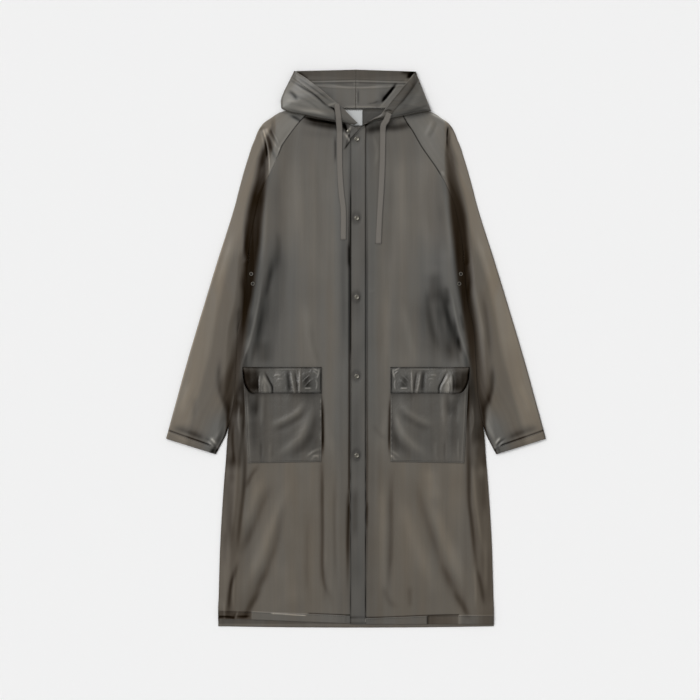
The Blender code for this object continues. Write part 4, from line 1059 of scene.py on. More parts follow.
def front_grid(side):
    """Rows of points from the free edge to the raglan seam or side: x runs evenly with a finer edge, and y bends
    up to the neck edge over the top 137 mm."""
    rows = np.concatenate([np.linspace(537.0, 400.0, 52), np.linspace(397.0, -588.0, 222),
                           np.linspace(-590.0, FRONT_HEM_Y, 24)])[:, None]
    u = np.concatenate([np.linspace(0.0, 0.72, 84), np.linspace(0.726, 1.0, 48)])[None, :]
    free, outer, neck = front_outline(side, rows)
    x = free + (outer - free) * u
    drop = np.interp(x[:1], neck["x"], neck["y"]) - rows[0]
    y = rows + drop * np.clip((rows - 400.0) / (rows[0] - 400.0), 0.0, 1.0)
    foot = -2.0 if side > 0 else 8.5 * np.clip((x - 20.0) / 214.0, 0.0, 1.15)
    return x * side, y + foot * eased((-560.0 - rows) / 50.0)


def hem_line(side, x):
    """Stitch line of a front's hem; on the wearer's right it climbs towards the side."""
    out = np.abs(x)
    climb = 9.0 * np.clip((out - 20.0) / 214.0, 0.0, 1.2)
    return np.where(side > 0, -604.5 + 6.0 * eased((out - 20.0) / 200.0), -599.0 + climb)


def hem_look(side, x, y):
    """Look of a front's hem: greyer film in two layers, with a dark line above it, a painted highlight in a thin
    line along the right one, and a browner length on each side where it is folded under."""
    out, line = np.abs(x), hem_line(side, x)
    band = eased((line - y) / 1.5)
    above = np.exp(-((y - line - 0.6) / 1.5) ** 2)
    if side > 0:
        folded, cut = window(out, 162.0, 230.0, 1.5), np.exp(-((out - 160.5) / 1.6) ** 2)
        folded = folded * (1.3 - (out - 162.0) / 110.0)
        look = band * (-0.03 - 0.12 * folded - 0.25 * cut) - 0.34 * above * (out < 232.0)
        look = look + 0.06 * band * window(out, 231.0, 236.0, 1.0)
    else:
        folded, cut = eased((out - 233.0) / 2.0), 0.0
        # Painted highlight: a thin bright line across the hem of the wearer's right front
        hem_highlight = np.exp(-((y + 597.0 - 0.062 * (out - 150.0)) / 1.0) ** 2) * window(out, 118.0, 186.0, 8.0)
        look = band * (-0.01 - 0.12 * folded) - 0.34 * above * (1.0 - window(out, 112.0, 400.0, 8.0))
        look = look + 0.9 * hem_highlight
    return look, band * (0.3 * folded - 0.35 * (1.0 - folded)), band * (1.0 - folded)


class COAT_OT_back(bpy.types.Operator):
    """Adds the back, with its turned hem"""

    bl_idname = "coat.add_back"
    bl_label = "Back"

    def execute(self, context):
        rows = np.concatenate([np.linspace(BACK_LENGTH_Y, -600.0, 96), np.linspace(-603.0, HEM_Y, 16)])[:, None]
        u = np.linspace(-1.0, 1.0, 81)[None, :]
        side = np.where(u < 0, -1, 1)
        lean = 20.0 * np.clip((rows - UNDERARM_Y) / (BACK_LENGTH_Y - UNDERARM_Y), 0.0, 1.0)
        seam = np.where(side > 0, seam_x(1, rows), seam_x(-1, rows)) - lean
        x = (np.where(rows > UNDERARM_Y, seam, read(LAY, "edge_x", rows)) - GAP / 2) * u
        y = rows + 3.0 * (x / 310.0) ** 2 * (rows < -600)
        hem = eased((HEM_Y + HEM_DEPTH - y) / 1.5)
        z = back_bottom(x, y) + SOLID_WALL + 0.4 * hem
        z = z + creases(x, y, BACK_CREASES)[0] * eased((220.0 - np.abs(x)) / 40.0) * (1.0 - hem)
        # Painted shade at the top, in the neck under the hood; the hem is darker above its lowest 6 mm and has a dark
        # line 113 mm to the wearer's right
        light = 0.60 - 0.20 * eased((y - 498.0) / 8.0) - 0.14 * eased((y + 621.0) / 4.0) * hem
        light = light - 0.30 * np.exp(-((x + 113.0) / 2.0) ** 2) * hem
        warm = 0.6 - 0.5 * eased((y - 498.0) / 8.0)
        made = film_sheet("back_panel", grid_points(x, y, z), (light, warm, 0.35), finish("body"), True)
        declare(["back"])
        return {"FINISHED"}


class COAT_OT_fronts(bpy.types.Operator):
    """Adds both fronts; the wearer's left one laps over the right one"""

    bl_idname = "coat.add_fronts"
    bl_label = "Fronts"

    def execute(self, context):
        step = sizes().hem_step / MM
        for side, word in ((1, "left"), (-1, "right")):
            x, y = front_grid(side)
            look, brown, hem = hem_look(side, x, y)
            z = front_top(side, x, y) + step * hem * (np.abs(x) > UNDERLAP_X)
            light, warm, crinkle = front_cast(side, x, y, z)
            cast = (light + look, warm + brown, crinkle)
            made = film_sheet(f"front_panel_{word}", grid_points(x, y, z), cast, finish("body"), side > 0)
            declare([f"front_{word}"])
        return {"FINISHED"}


# Sleeves

TURN = np.radians(np.linspace(78.0, -78.0, 9))
TOP = 78  # points over the top of a sleeve's ring


def span(a, b):
    return np.linalg.norm(a - b, axis=-1)


def sleeve_rings(side, start, end, out, top_of, inner_fold):
    """Points round a sleeve at each row: over its top from start to the outer fold, which is half a circle, and
    back along the surface to end. The top eases from the start's height to top_of and on into the fold."""
    reach = (out - start[:, :2]) / span(out, start[:, :2])[:, None]
    radius = 0.5 * top_of(out[:, 0] - 3.0 * side, out[:, 1])
    turn_at = out - reach * radius[:, None]
    first = start[:, :2] + reach * (0.5 * inner_fold)[:, None]
    t = np.linspace(0.0, 1.0, TOP)[None, :, None]
    top = first[:, None] + (turn_at - first)[:, None] * t
    z = top_of(top[..., 0], top[..., 1])
    full = 2.0 * radius[:, None]
    z = full + (z - full) * eased(span(turn_at[:, None], top) / 22.0)
    near = eased(span(top, first[:, None]) / 14.0)
    far = eased(span(top, turn_at[:, None]) / 16.0)
    table = SLEEVE_LEFT_CREASES_AND_SHADING if side > 0 else SLEEVE_RIGHT_CREASES_AND_SHADING
    z = start[:, 2:] + (z - start[:, 2:]) * near + creases(top[..., 0], top[..., 1], table)[0] * near * far
    fold = turn_at[:, None] + reach[:, None] * (radius[:, None] * np.cos(TURN))[..., None]
    fold_z = radius[:, None] * (1.0 + np.sin(TURN))
    low = end[:, :2] + reach * (0.5 * inner_fold)[:, None]
    bottom = low[:, None] + (turn_at - low)[:, None] * np.linspace(1.0, 0.0, 12)[None, :, None]
    bottom_z = end[:, 2:] * (1.0 - eased(span(bottom, low[:, None]) / 30.0))
    ring = np.concatenate([np.dstack([top, z]), np.dstack([fold, fold_z]), np.dstack([bottom, bottom_z])], axis=1)
    middle = np.column_stack([start[:, :2], 0.5 * (start[:, 2] + end[:, 2])])[:, None]
    closed = np.concatenate([middle, ring, middle], axis=1)
    opened = np.concatenate([ring[:, :1], ring, ring[:, -1:]], axis=1)
    return np.where((inner_fold > 0)[:, None, None], closed, opened)


def sleeve_grid(side):
    """Rings down the sleeve: an open C above the underarm and a closed tube below it, blended over 40 mm."""
    rows = np.concatenate([np.linspace(BACK_LENGTH_Y, 400.0, 90), np.linspace(396.0, -150.0, 126),
                           np.linspace(-152.0, SLEEVE_END_Y, 50)])
    seam = side * (seam_x(side, rows) + GAP / 2)
    lean = 20.0 * np.clip((rows - UNDERARM_Y) / (BACK_LENGTH_Y - UNDERARM_Y), 0.0, 1.0)
    back = seam - side * lean
    start = np.column_stack([seam, rows, front_base(seam, rows)])
    end = np.column_stack([back, rows, back_bottom(back, rows)])
    out = np.column_stack([side * read(ARM, "outer_x", rows), rows])
    opened = sleeve_rings(side, start, end, out, front_base, 0.0 * rows)
    inner = side * read(TUBE, "inner_x", rows)
    top_z, bottom_z = read(TUBE, "top_z", rows), read(TUBE, "bottom_z", rows)
    out_y = rows + CUFF_TILT * np.clip((UNDERARM_Y - rows) / (UNDERARM_Y - SLEEVE_END_Y), 0.0, 1.0)
    out = np.column_stack([side * read(ARM, "outer_x", out_y), out_y])
    start = np.column_stack([inner, rows, top_z])
    end = np.column_stack([inner, rows, bottom_z])
    tube = sleeve_rings(side, start, end, out, sleeve_top, top_z - bottom_z)
    blend = eased((235.0 - rows) / 40.0)[:, None, None]
    return opened + (tube - opened) * blend


def cuff_line(x):
    return CUFF_Y + (np.abs(x) - CUFF_X) * CUFF_SLOPE


def sleeve_cast(side, grid):
    """Look of a sleeve: two layers over the pale floor, so light and brown, lightest along its outer fold, greyer
    by the inner end of the cuff, with a dark line at the cuff, a painted shadow line at the raglan seam, painted
    highlight and shade along its creases, painted light on slopes that face the light, and nearly black in the
    hollow beside the body: painted shade there, for the shadow and for the film that turns under."""
    x, y, z = grid[..., 0], grid[..., 1], grid[..., 2]
    half = np.abs(x)
    outer = read(ARM, "outer_x", y) - half
    middle = 0.66 - 0.08 * eased((300.0 - y) / 120.0)
    reach = 30.0 + 16.0 * eased((150.0 - y) / 200.0)
    light = middle + (0.72 - middle) * eased((reach + 8.0 - outer) / 16.0)
    low = eased((-y - 120.0) / 60.0)
    light = light - 0.05 * eased((4.0 - outer) / 4.0) - 0.08 * low * eased((30.0 - outer) / 40.0)
    on_body = eased((read(HOLLOWS[side], "start_x", y) - half) / 5.0) * eased((y - UNDERARM_Y) / 60.0)
    light = light + ((0.64 if side > 0 else 0.77) - light) * on_body
    cuff = eased((-y - 110.0) / 70.0)
    warm = 0.85 - 0.6 * on_body - 0.8 * cuff * eased((outer - 60.0) / 40.0)
    line = y - cuff_line(x)
    light = light - 0.44 * np.exp(-((line - 0.6) / 1.9) ** 2) * eased((half - 322.0) / 5.0) * (z > 1.5)
    light = light + 0.08 * np.exp(-((line + 3.8) / 1.6) ** 2) - 0.05 * eased(-line / 2.0)
    # Painted shadow line along the raglan seam
    to_seam = (half - seam_x(side, y) - GAP / 2) * (0.80 if side > 0 else 0.87)
    light = light - 0.28 * np.exp(-(to_seam / 1.1) ** 2) * eased((y - SEAM_SHADOW_ENDS[side]) / 12.0)
    # Painted shade in the hollow beside the body, painted highlight and shade along the creases, and painted light on
    # slopes that face the light
    inside, level = hollow(side, half, y)
    look = creases(x, y, SLEEVE_LEFT_CREASES_AND_SHADING if side > 0 else SLEEVE_RIGHT_CREASES_AND_SHADING)[1]
    light = light + (level - light) * inside + look + sheen(x, y, z) * (z > 2.5) * (1.0 - 0.9 * inside)
    return light, warm + (1.0 - warm) * inside - 0.8 * np.abs(look), 0.45 + 0.3 * cuff


class COAT_OT_sleeves(bpy.types.Operator):
    """Adds both raglan sleeves with their turned cuffs"""

    bl_idname = "coat.add_sleeves"
    bl_label = "Sleeves"

    def execute(self, context):
        step = sizes().hem_step / MM
        for side, word in ((1, "left"), (-1, "right")):
            grid = sleeve_grid(side)
            hem = eased((cuff_line(grid[..., 0]) - grid[..., 1]) / 1.5)
            cast = sleeve_cast(side, grid)
            grid[:, 1:TOP + 1, 2] += step * hem[:, 1:TOP + 1]
            made = film_sheet(f"raglan_sleeve_{word}", grid, cast, finish("sleeve"), side > 0, weld=True)
            declare([f"sleeve_{word}"])
        return {"FINISHED"}


# Hood


def hood_grid(side):
    """Each row runs out along the surface from the inner line, round the fold, and over to the brim, which lies
    higher; the rows are then joined by smooth curves from the tip to the top of the brim."""
    table = np.array(HOOD_ROWS, float)
    key = {name: table[:, i] for i, name in enumerate(HOOD_COLUMNS)}
    brim = "left" if side > 0 else "right"
    shift = np.where(np.arange(len(table)) == 0, HOOD_TIP_SHIFT if side > 0 else 0.0, 0.0)
    inner = np.column_stack([key["inner_x"] + 0.5 * shift, key["inner_y"], key["inner_z"]])
    inner[:, 0] += np.where(key["inner_x"] == 0, np.where(key["inner_y"] < 590.0, GAP / 2, 0.01), 0.0)
    fold = np.array(HOOD_FOLD_LEFT, float) if side > 0 else np.column_stack([key["fold_x"], key["fold_y"]])
    fold[:, 0] += shift
    edge = np.column_stack([key[f"{brim}_x"], key[f"{brim}_y"], key[f"{brim}_z"]])
    radius, low = key["radius"], key["fold_z"]
    high = low + 2.0 * radius
    arrive = (fold - inner[:, :2]) / span(fold, inner[:, :2])[:, None]
    leave = (edge[:, :2] - fold) / np.maximum(span(edge[:, :2], fold), 1e-6)[:, None]
    near = np.minimum(radius, 0.45 * span(edge[:, :2], fold))
    start = fold - arrive * radius[:, None]
    stop = fold + leave * near[:, None]
    t = np.linspace(0.0, 1.0, UNDER)[None, :, None]
    flat = inner[:, None, :2] + (start - inner[:, :2])[:, None] * t
    rise = inner[:, 2:] + (low[:, None] - inner[:, 2:]) * eased(t[..., 0])
    under = np.dstack([flat, rise])
    a = np.radians(np.linspace(-70.0, 70.0, BEND))[None, :, None]
    lean = np.where(np.sin(a) < 0, -arrive[:, None] * radius[:, None, None], leave[:, None] * near[:, None, None])
    turn = fold[:, None] + lean * (1.0 - np.cos(a))
    bend = np.dstack([turn, (low + radius)[:, None] + radius[:, None] * np.sin(a[..., 0])])
    t = np.linspace(0.0, 1.0, OVER)[None, :, None]
    flat = stop[:, None] + (edge[:, :2] - stop)[:, None] * t
    rise = high[:, None] + (edge[:, 2:] - high[:, None]) * t[..., 0] + HOOD_PUFF * np.sin(math.pi * t[..., 0])
    over = np.dstack([flat, rise])
    rows = np.concatenate([under, bend, over], axis=1)
    fine = np.concatenate([np.linspace(0.0, 9.9, 140), np.linspace(9.95, 11.0, 20)])
    grid = curve(np.arange(len(rows)), rows, fine)
    grid[..., 0] *= side
    lowest = sizes().film_wall / MM * eased((546.0 - grid[..., 1]) / 3.0)
    grid[..., 2] = np.maximum(grid[..., 2], lowest)
    return grid


def from_brim(grid):
    """Distance of each point from the brim, along its row."""
    steps = np.linalg.norm(np.diff(grid, axis=1, append=grid[:, -1:]), axis=2)
    return np.cumsum(steps[:, ::-1], axis=1)[:, ::-1]


def from_top(grid):
    """Distance of each point from the top edge, up its column."""
    steps = np.linalg.norm(np.diff(grid, axis=0, append=grid[-1:]), axis=2)
    return np.cumsum(steps[::-1], axis=0)[::-1]


def dressed_hood(side):
    """The hood half with its raised casing along the brim and across the top, its dents, and its look: the
    wearer's right half painted lighter than the left, as the light falls on it, painted highlight along the brim's
    edge and on the piping, painted highlight and shade along its creases and under the casing inside, and painted
    light on slopes that face the light.
    """
    grid = hood_grid(side)
    step = sizes().hem_step / MM
    over = np.arange(grid.shape[1])[None, :] >= UNDER + BEND
    casing = eased((CASING_DEPTH - from_brim(grid)) / 2.0) * over
    top = eased((CASING_DEPTH - from_top(grid)) / 2.0) * (~over)
    x, y = grid[..., 0], grid[..., 1]
    dents, look = creases(x, y, HOOD_LEFT_CREASES_AND_SHADING if side > 0 else HOOD_RIGHT_CREASES_AND_SHADING)
    dents, look = dents * over * eased(from_brim(grid) / 8.0), look * over
    deep = from_top(grid)
    sag = 33.0 + 7.0 * (1.0 - np.clip(x / 100.0, -1.0, 1.0) ** 2)
    piping = 0.5 * np.exp(-((deep - sag) / 1.6) ** 2) * ~over
    grid[..., 2] += step * casing + dents + (step * top + piping) * np.minimum(1.0, (grid[..., 2] + 3.0) / 3.0)
    far = from_brim(grid)
    # Painted light: the wearer's right half is painted lighter than the left, as the light falls on it
    panel = 0.66 + 0.07 * eased((far - 20.0) / 40.0) if side < 0 else 0.58 - 0.05 * casing
    # Inside: darker on the top casing, with a painted highlight just below it, painted shadow lines below that, and a
    # painted highlight on the piping
    inside = 0.60 - 0.09 * top + 0.25 * piping + 0.14 * np.exp(-((deep - 25.0) / 1.3) ** 2)
    inside = inside - 0.20 * np.exp(-((deep - 28.5) / 1.5) ** 2) - 0.05 * window(deep, 29.0, 33.0, 2.0)
    inside = inside + creases(x, y, HOOD_INSIDE_SHADING)[1]
    # Painted highlight along the brim's edge, and painted light on slopes that face the light
    light = np.where(over, panel - 0.05 * casing + look + 0.14 * eased((2.5 - far) / 2.0), inside)
    light = light + 0.3 * sheen(x, y, grid[..., 2])
    warm = np.where(over, 0.05 + (0.3 if side > 0 else 0.1) * casing, 0.2) + 0.35 * top
    return grid, (light, warm, 0.5 + 0.0 * light)


class COAT_OT_hood(bpy.types.Operator):
    """Adds both halves of the hood"""

    bl_idname = "coat.add_hood"
    bl_label = "Hood"

    def execute(self, context):
        for side, word in ((1, "left"), (-1, "right")):
            grid, cast = dressed_hood(side)
            made = film_sheet(f"hood_half_{word}", grid, cast, finish("hood"), side > 0)
            declare([f"hood_{word}"])
        return {"FINISHED"}


# Placket, pockets and label


def placket_top(x, y):
    return front_top(1, x, y) + SOLID_WALL + GAP


class COAT_OT_placket(bpy.types.Operator):
    """Adds the strip that holds the snaps"""

    bl_idname = "coat.add_placket"
    bl_label = "Placket"

    def execute(self, context):
        u = np.linspace(0.0, 1.0, 25)[None, :]
        neck = columns(("x", "y"), NECK_LEFT_ROWS)
        x = FREE_EDGE_X + PLACKET_WIDTH * u
        top = np.interp(x, neck["x"], neck["y"]) - 0.5
        v = np.linspace(0.0, 1.0, 240)[:, None]
        y = top + (FRONT_HEM_Y - 7.0 * 0.0 - top) * v
        x = x + 0.0 * y
        snap_y = SNAP_TOP_Y - SNAP_PITCH * np.arange(SNAP_COUNT)
        off = np.min(np.hypot(x[..., None] - SNAP_X, (y[..., None] - snap_y) * 0.8), axis=-1)
        pinch = -0.25 * np.exp(-((off - 8.0) / 4.0) ** 2)
        ripple = 0.22 * np.sin(y / 31.0 + 2.0 * np.sin(y / 97.0)) * np.sin(math.pi * u)
        z = placket_top(x, y) + pinch + ripple * (off > 8.0)
        # Painted shade in the dimples round the snaps and painted light on the ripples; painted shadow along the free
        # edge and under the hood at the top, a dark line at the stitched edge and at the hem, and a painted highlight
        # at the hem's corner
        light = 0.50 + 0.35 * pinch + 0.14 * ripple + 0.05 * eased((y - 250.0) / 200.0) + sheen(x, y, z)
        edge = 1.0 + 0.3 * np.sin(y / 11.0 + 3.0 * np.sin(y / 53.0)) * window(y, -620.0, -260.0, 60.0)
        light = light - edge * (0.22 * window(u, 0.96, 1.0, 0.04) + 0.24 * window(u, 0.0, 0.03, 0.03))
        light = light - 0.16 * window(u, 0.0, 0.07, 0.05) * window(y, 10.0, 330.0, 40.0)
        light = light - 0.10 * np.exp(-((u - 0.3) / 0.25) ** 2) * window(y, -400.0, -340.0, 40.0)
        light = light - 0.26 * np.exp(-((top - y) / 7.0) ** 2)
        light = light - 0.34 * np.exp(-((y + 604.5) / 1.3) ** 2) + 0.8 * (
            np.exp(-((u - 0.97) / 0.02) ** 2) * window(y, -616.0, -608.0, 1.5))
        made = film_sheet("placket_strip", grid_points(x, y, z), (light, 0.15 + 0.0 * x, 0.5), finish("body"), True)
        declare(["placket"])
        return {"FINISHED"}


def pocket_base(side, x, y):
    """Upper surface of a pocket: on the front at its edges, and puffed between them."""
    across = (np.abs(x) - POCKET_INNER_X) / (POCKET_OUTER_X - POCKET_INNER_X)
    along = (POCKET_TOP_Y - y) / (POCKET_TOP_Y - POCKET_BOTTOM_Y)
    bulge = eased(4.0 * across) * eased(4.0 - 4.0 * across) * eased(3.0 - 3.0 * along) * eased(5.0 * along)
    return front_top(side, x, y) + SOLID_WALL + GAP + POCKET_PUFF * bulge


def pocket_plan(side, u, v):
    """Plan of a pocket: it narrows by 11 mm towards its bottom."""
    top = POCKET_TOP_Y - 4.0
    width = POCKET_OUTER_X - POCKET_INNER_X
    y = top + (POCKET_BOTTOM_Y - 3.0 * u - top) * v
    return side * (POCKET_INNER_X + (width - POCKET_TAPER * v) * u), y


def flap_plan(side, u, v):
    """Plan of a flap, with a round lower corner on its outer side."""
    round_corner = 1.0 - np.sqrt(1.0 - np.clip((u - 0.86) / 0.14, 0.0, 1.0) ** 2)
    low = FLAP_BOTTOM_Y + FLAP_CORNER * round_corner
    width = POCKET_OUTER_X - POCKET_INNER_X
    y = POCKET_TOP_Y + (low - POCKET_TOP_Y) * v
    return side * (POCKET_INNER_X + FLAP_OVERHANG * (2.0 * u - 1.0) + width * u) + 0.0 * v, y


def pocket_top(side, u, v):
    """Plan, height and look of a pocket; the left one's creases run 12 mm nearer to the middle."""
    x, y = pocket_plan(side, u, v)
    relief, look = creases(np.abs(x) + (12.0 if side > 0 else 0.0), y, POCKET_CREASES_AND_SHADING)
    relief = relief * eased(8.0 * u) * eased(8.0 - 8.0 * u) * eased(9.0 - 9.0 * v)
    return x, y, pocket_base(side, x, y) + relief, look


def flap_top(side, u, v):
    """Plan, height and look of a flap."""
    x, y = flap_plan(side, u, v)
    ends = eased(12.0 * u) * eased(12.0 - 12.0 * u) * eased(5.0 * v)
    relief, look = creases(np.abs(x), y, FLAP_CREASES_AND_SHADING)
    return x, y, pocket_base(side, x, y) + SOLID_WALL + GAP + 0.15 + relief * ends, look


class COAT_OT_pockets(bpy.types.Operator):
    """Adds the patch pockets and their flaps"""

    bl_idname = "coat.add_pockets"
    bl_label = "Pockets"

    def execute(self, context):
        v = np.linspace(0.0, 1.0, 104)[:, None]
        for side, word in ((1, "left"), (-1, "right")):
            u = np.linspace(0.0, 1.0, 96)[None, :]
            x, y, z, look = pocket_top(side, u, v)
            seam = np.exp(-((u - 0.965) / 0.006) ** 2) * eased((v - 0.2) * 9.0)
            pucker = 0.5 + 0.5 * np.sin(y / 2.3 + 1.7 * np.sin(y / 11.0))
            edge = pucker * (np.exp(-((u - 0.006) / 0.012) ** 2) * eased((v - 0.3) * 9.0)
                             + np.exp(-((v - 0.985) / 0.012) ** 2) * eased((0.6 - u) * 4.0))
            # Painted highlight and shade along the creases, painted light on slopes that face the light, painted
            # shadow under the flap along the pocket's top, a light line along the outer seam, and painted highlights
            # on the puckers along the inner side and the bottom
            light = 0.50 + look + sheen(x, y, z) - 0.06 * window(v, 0.0, 0.26, 0.06) + 0.14 * seam + 0.13 * edge
            made = film_sheet(f"patch_pocket_{word}", grid_points(x, y, z),
                              (light, 0.28 + 0.0 * light, 1.0), finish("pocket"), side > 0)
            declare([f"pocket_{word}"])
            v_flap = np.linspace(0.0, 1.0, 52)[:, None]
            u = np.linspace(0.0, 1.0, 140)[None, :]
            x, y, z, look = flap_top(side, u, v_flap)
            # Painted highlight and shade along the creases, painted light on slopes that face the light, and painted
            # shadow along the top edge, the foot and the outer end
            light = 0.50 + look + sheen(x, y, z) - 0.2 * window(v_flap, 0.0, 0.03, 0.03)
            light = light - 0.14 * eased(v_flap * 12.0 - 11.0) - 0.3 * eased(1.0 - (1.0 - u) * 50.0)
            made = film_sheet(f"pocket_flap_{word}", grid_points(x, y, z),
                              (light, 0.12 + 0.45 * eased(u * 6.0 - 4.4) + 0.0 * light, 1.0), finish("flap"), side > 0)
            declare([f"flap_{word}"])
        return {"FINISHED"}


class COAT_OT_label(bpy.types.Operator):
    """Adds the bare neck label"""

    bl_idname = "coat.add_label"
    bl_label = "Neck label"

    def execute(self, context):
        u, v = np.linspace(0.0, 1.0, 24)[None, :], np.linspace(0.0, 1.0, 22)[:, None]
        x = LABEL_LEFT_X + (LABEL_RIGHT_X - LABEL_LEFT_X) * u + 0.0 * v
        y = LABEL_TOP_Y + (LABEL_LOW_Y - LABEL_TOP_Y) * v + 0.0 * u
        z = LABEL_Z + 0.35 * np.sin(math.pi * u) * np.sin(2.5 * v) + 0.0 * u
        made = film_sheet("bare_neck_label", grid_points(x, y, z), (0.6, 0.2, 0.0), finish("label"), True,
                          wall=0.6 * MM)
        declare(["neck_label"])
        return {"FINISHED"}


# Drawstrings


def tape_line(side, route, tree, count=90):
    """Centre line of a tape: it lies on the hood's side panel and then on the front, and falls no steeper than
    its own slope between them."""
    middle, at = smooth_path(route, count)
    along = np.gradient(middle, axis=0)
    along /= np.linalg.norm(along, axis=1)[:, None]
    across = np.stack([along[:, 1], -along[:, 0]], axis=1) * side
    width = sizes().tape_width / MM
    places = np.vstack([middle + across * width * k for k in (-0.55, 0.0, 0.55)])
    hits = [tree.ray_cast(Vector((x * MM, y * MM, 0.1)), Vector((0, 0, -1)))[0] for x, y in places]
    on_hood = np.array([hit.z / MM if hit else 0.0 for hit in hits])
    on_front = front_top(side, places[:, 0], places[:, 1])
    held = np.maximum(on_hood, on_front).reshape(3, -1).max(axis=0)
    held = (held[None, :] - TAPE_FALL * np.abs(at[:, None] - at[None, :])).max(axis=1)
    z = held + SOLID_WALL + 2 * GAP + 0.4 - 0.5 * sizes().tape_wall / MM
    return np.column_stack([middle, z]), across, at


class COAT_OT_drawstrings(bpy.types.Operator):
    """Adds the two flat drawstrings"""

    bl_idname = "coat.add_drawstrings"
    bl_label = "Drawstrings"

    def execute(self, context):
        width, wall = sizes().tape_width / MM, sizes().tape_wall / MM
        for side, word, route in ((1, "left", TAPE_LEFT), (-1, "right", TAPE_RIGHT)):
            hood = bpy.data.objects[f"hood_half_{word}"].data
            tree = BVHTree.FromPolygons([v.co for v in hood.vertices], [p.vertices for p in hood.polygons])
            line, across, at = tape_line(side, route, tree)
            a = np.linspace(0.0, 2.0 * math.pi, 28, endpoint=False)
            wide = np.sign(np.cos(a)) * np.abs(np.cos(a)) ** 0.35
            high = np.sign(np.sin(a)) * np.abs(np.sin(a)) ** 0.7
            tip = eased((at[-1] - at) / 1.6)[:, None]
            edge = 0.02 * np.sin(at / 23.0 + side)[:, None]
            plan = line[:, None, :2] + across[:, None] * (0.5 * width * wide[None] * (0.94 + edge))[..., None]
            cup = 0.35 * wide[None] ** 2 * np.sin(at / 61.0)[:, None]
            hem = 1.0 + 0.35 * window(at[-1] - at, 2.0, 7.0, 1.0)[:, None]
            z = line[:, 2:] + 0.5 * wall * high[None] * (0.3 + 0.7 * tip) * hem + cup
            rings = np.dstack([plan, z])
            count = rings.shape[1]
            points = np.concatenate([rings.reshape(-1, 3), rings[:1].mean(axis=1), rings[-1:].mean(axis=1)])
            faces = grid_faces(len(rings), count, flip=side < 0, loop=True).tolist()
            first, last = len(points) - 2, len(points) - 1
            for j in range(count):
                k, base = (j + 1) % count, (len(rings) - 1) * count
                start_cap, end_cap = (k, j, first), (base + j, base + k, last)
                faces += [start_cap[::-1], end_cap[::-1]] if side < 0 else [start_cap, end_cap]
            made = put(f"flat_tape_{word}", points, [], finish("tape"))
            mesh = bpy.data.meshes.new(made.name)
            mesh.from_pydata((points * MM).tolist(), [], faces)
            mesh.polygons.foreach_set("use_smooth", [True] * len(mesh.polygons))
            mesh.materials.append(finish("tape"))
            made.data = mesh
            spread = np.concatenate([np.repeat(at[:, None], count, axis=1).ravel(), [at[0], at[-1]]])
            side_way = np.concatenate([np.tile(wide * width / 2, len(at)), [0.0, 0.0]])
            corner = np.zeros(len(mesh.loops), np.int32)
            mesh.loops.foreach_get("vertex_index", corner)
            flat = np.stack([side_way, spread], axis=1)[corner] * MM
            mesh.uv_layers.new(name="flat").data.foreach_set("uv", flat.astype(np.float32).ravel())
            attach(made, "root")
            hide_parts(f"drawstring_{word}")
        return {"FINISHED"}


# Snaps and eyelets


def turned(profile, count):
    """A profile's radii and heights carried round the Z axis; its poles are single points."""
    a = np.linspace(0.0, 2.0 * math.pi, count, endpoint=False)
    profile = np.array(profile, float)
    rings = np.stack([profile[:, :1] * np.cos(a), profile[:, :1] * np.sin(a), profile[:, 1:] + 0.0 * a], axis=-1)
    return rings.reshape(-1, 3), grid_faces(len(profile), count, flip=True, loop=True)


def seated(points, x, y, surface, lift):
    """Turns points square to a surface and sets them on it."""
    step = 4.0
    slope = [(surface(x + dx, y + dy) - surface(x - dx, y - dy)) / (2 * step) for dx, dy in ((step, 0), (0, step))]
    normal = Vector((-float(slope[0]), -float(slope[1]), 1.0)).normalized()
    turn = np.array(Vector((0.0, 0.0, 1.0)).rotation_difference(normal).to_matrix())
    return points @ turn.T + np.array([x, y, float(surface(x, y))]) + np.array(normal) * lift


def join_doubles(made):
    """Merges a turned shape's pole rings to single points, then turns every face outward."""
    import bmesh
    shape = bmesh.new()
    shape.from_mesh(made.data)
    bmesh.ops.remove_doubles(shape, verts=shape.verts, dist=1e-6)
    bmesh.ops.dissolve_degenerate(shape, edges=shape.edges, dist=1e-7)
    bmesh.ops.recalc_face_normals(shape, faces=shape.faces)
    shape.to_mesh(made.data)
    shape.free()


def add_small(name, points, faces, material, node):
    made = put(name, points, faces, material)
    join_doubles(made)
    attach(made, "root")
    if node:
        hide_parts(node)
    return made


class COAT_OT_snaps(bpy.types.Operator):
    """Adds the five snap caps and the open neck stud"""

    bl_idname = "coat.add_snaps"
    bl_label = "Snaps"

    def execute(self, context):
        r = sizes().snap_radius / MM
        cap = ((0, 1.5), (0.28 * r, 1.52), (0.48 * r, 1.66), (0.62 * r, 1.86), (0.74 * r, 1.92), (0.86 * r, 1.8),
               (0.95 * r, 1.4), (r, 0.9), (r, 0.45), (0.96 * r, 0.1), (0.9 * r, 0.0), (0, 0.0))
        points, faces = turned(cap, 48)
        for i in range(SNAP_COUNT):
            y = SNAP_TOP_Y - SNAP_PITCH * i
            placed = seated(points, SNAP_X, y, lambda a, b: front_top(1, a, b), SOLID_WALL + 2 * GAP)
            add_small(f"snap_cap_{i + 1}", placed, faces, finish("snap"), f"snap_{i + 1}")
        stud = ((0, 2.2), (1.1, 2.2), (1.6, 2.05), (1.9, 1.7), (1.8, 1.3), (1.6, 1.1), (2.4, 1.0), (3.6, 0.9),
                (4.1, 0.6), (4.2, 0.3), (4.0, 0.0), (0, 0.0))
        points, faces = turned(stud, 36)
        placed = seated(points, STUD_X, STUD_Y, lambda a, b: front_top(-1, a, b), GAP)
        add_small("open_neck_stud", placed, faces, finish("snap"), "neck_stud")
        return {"FINISHED"}


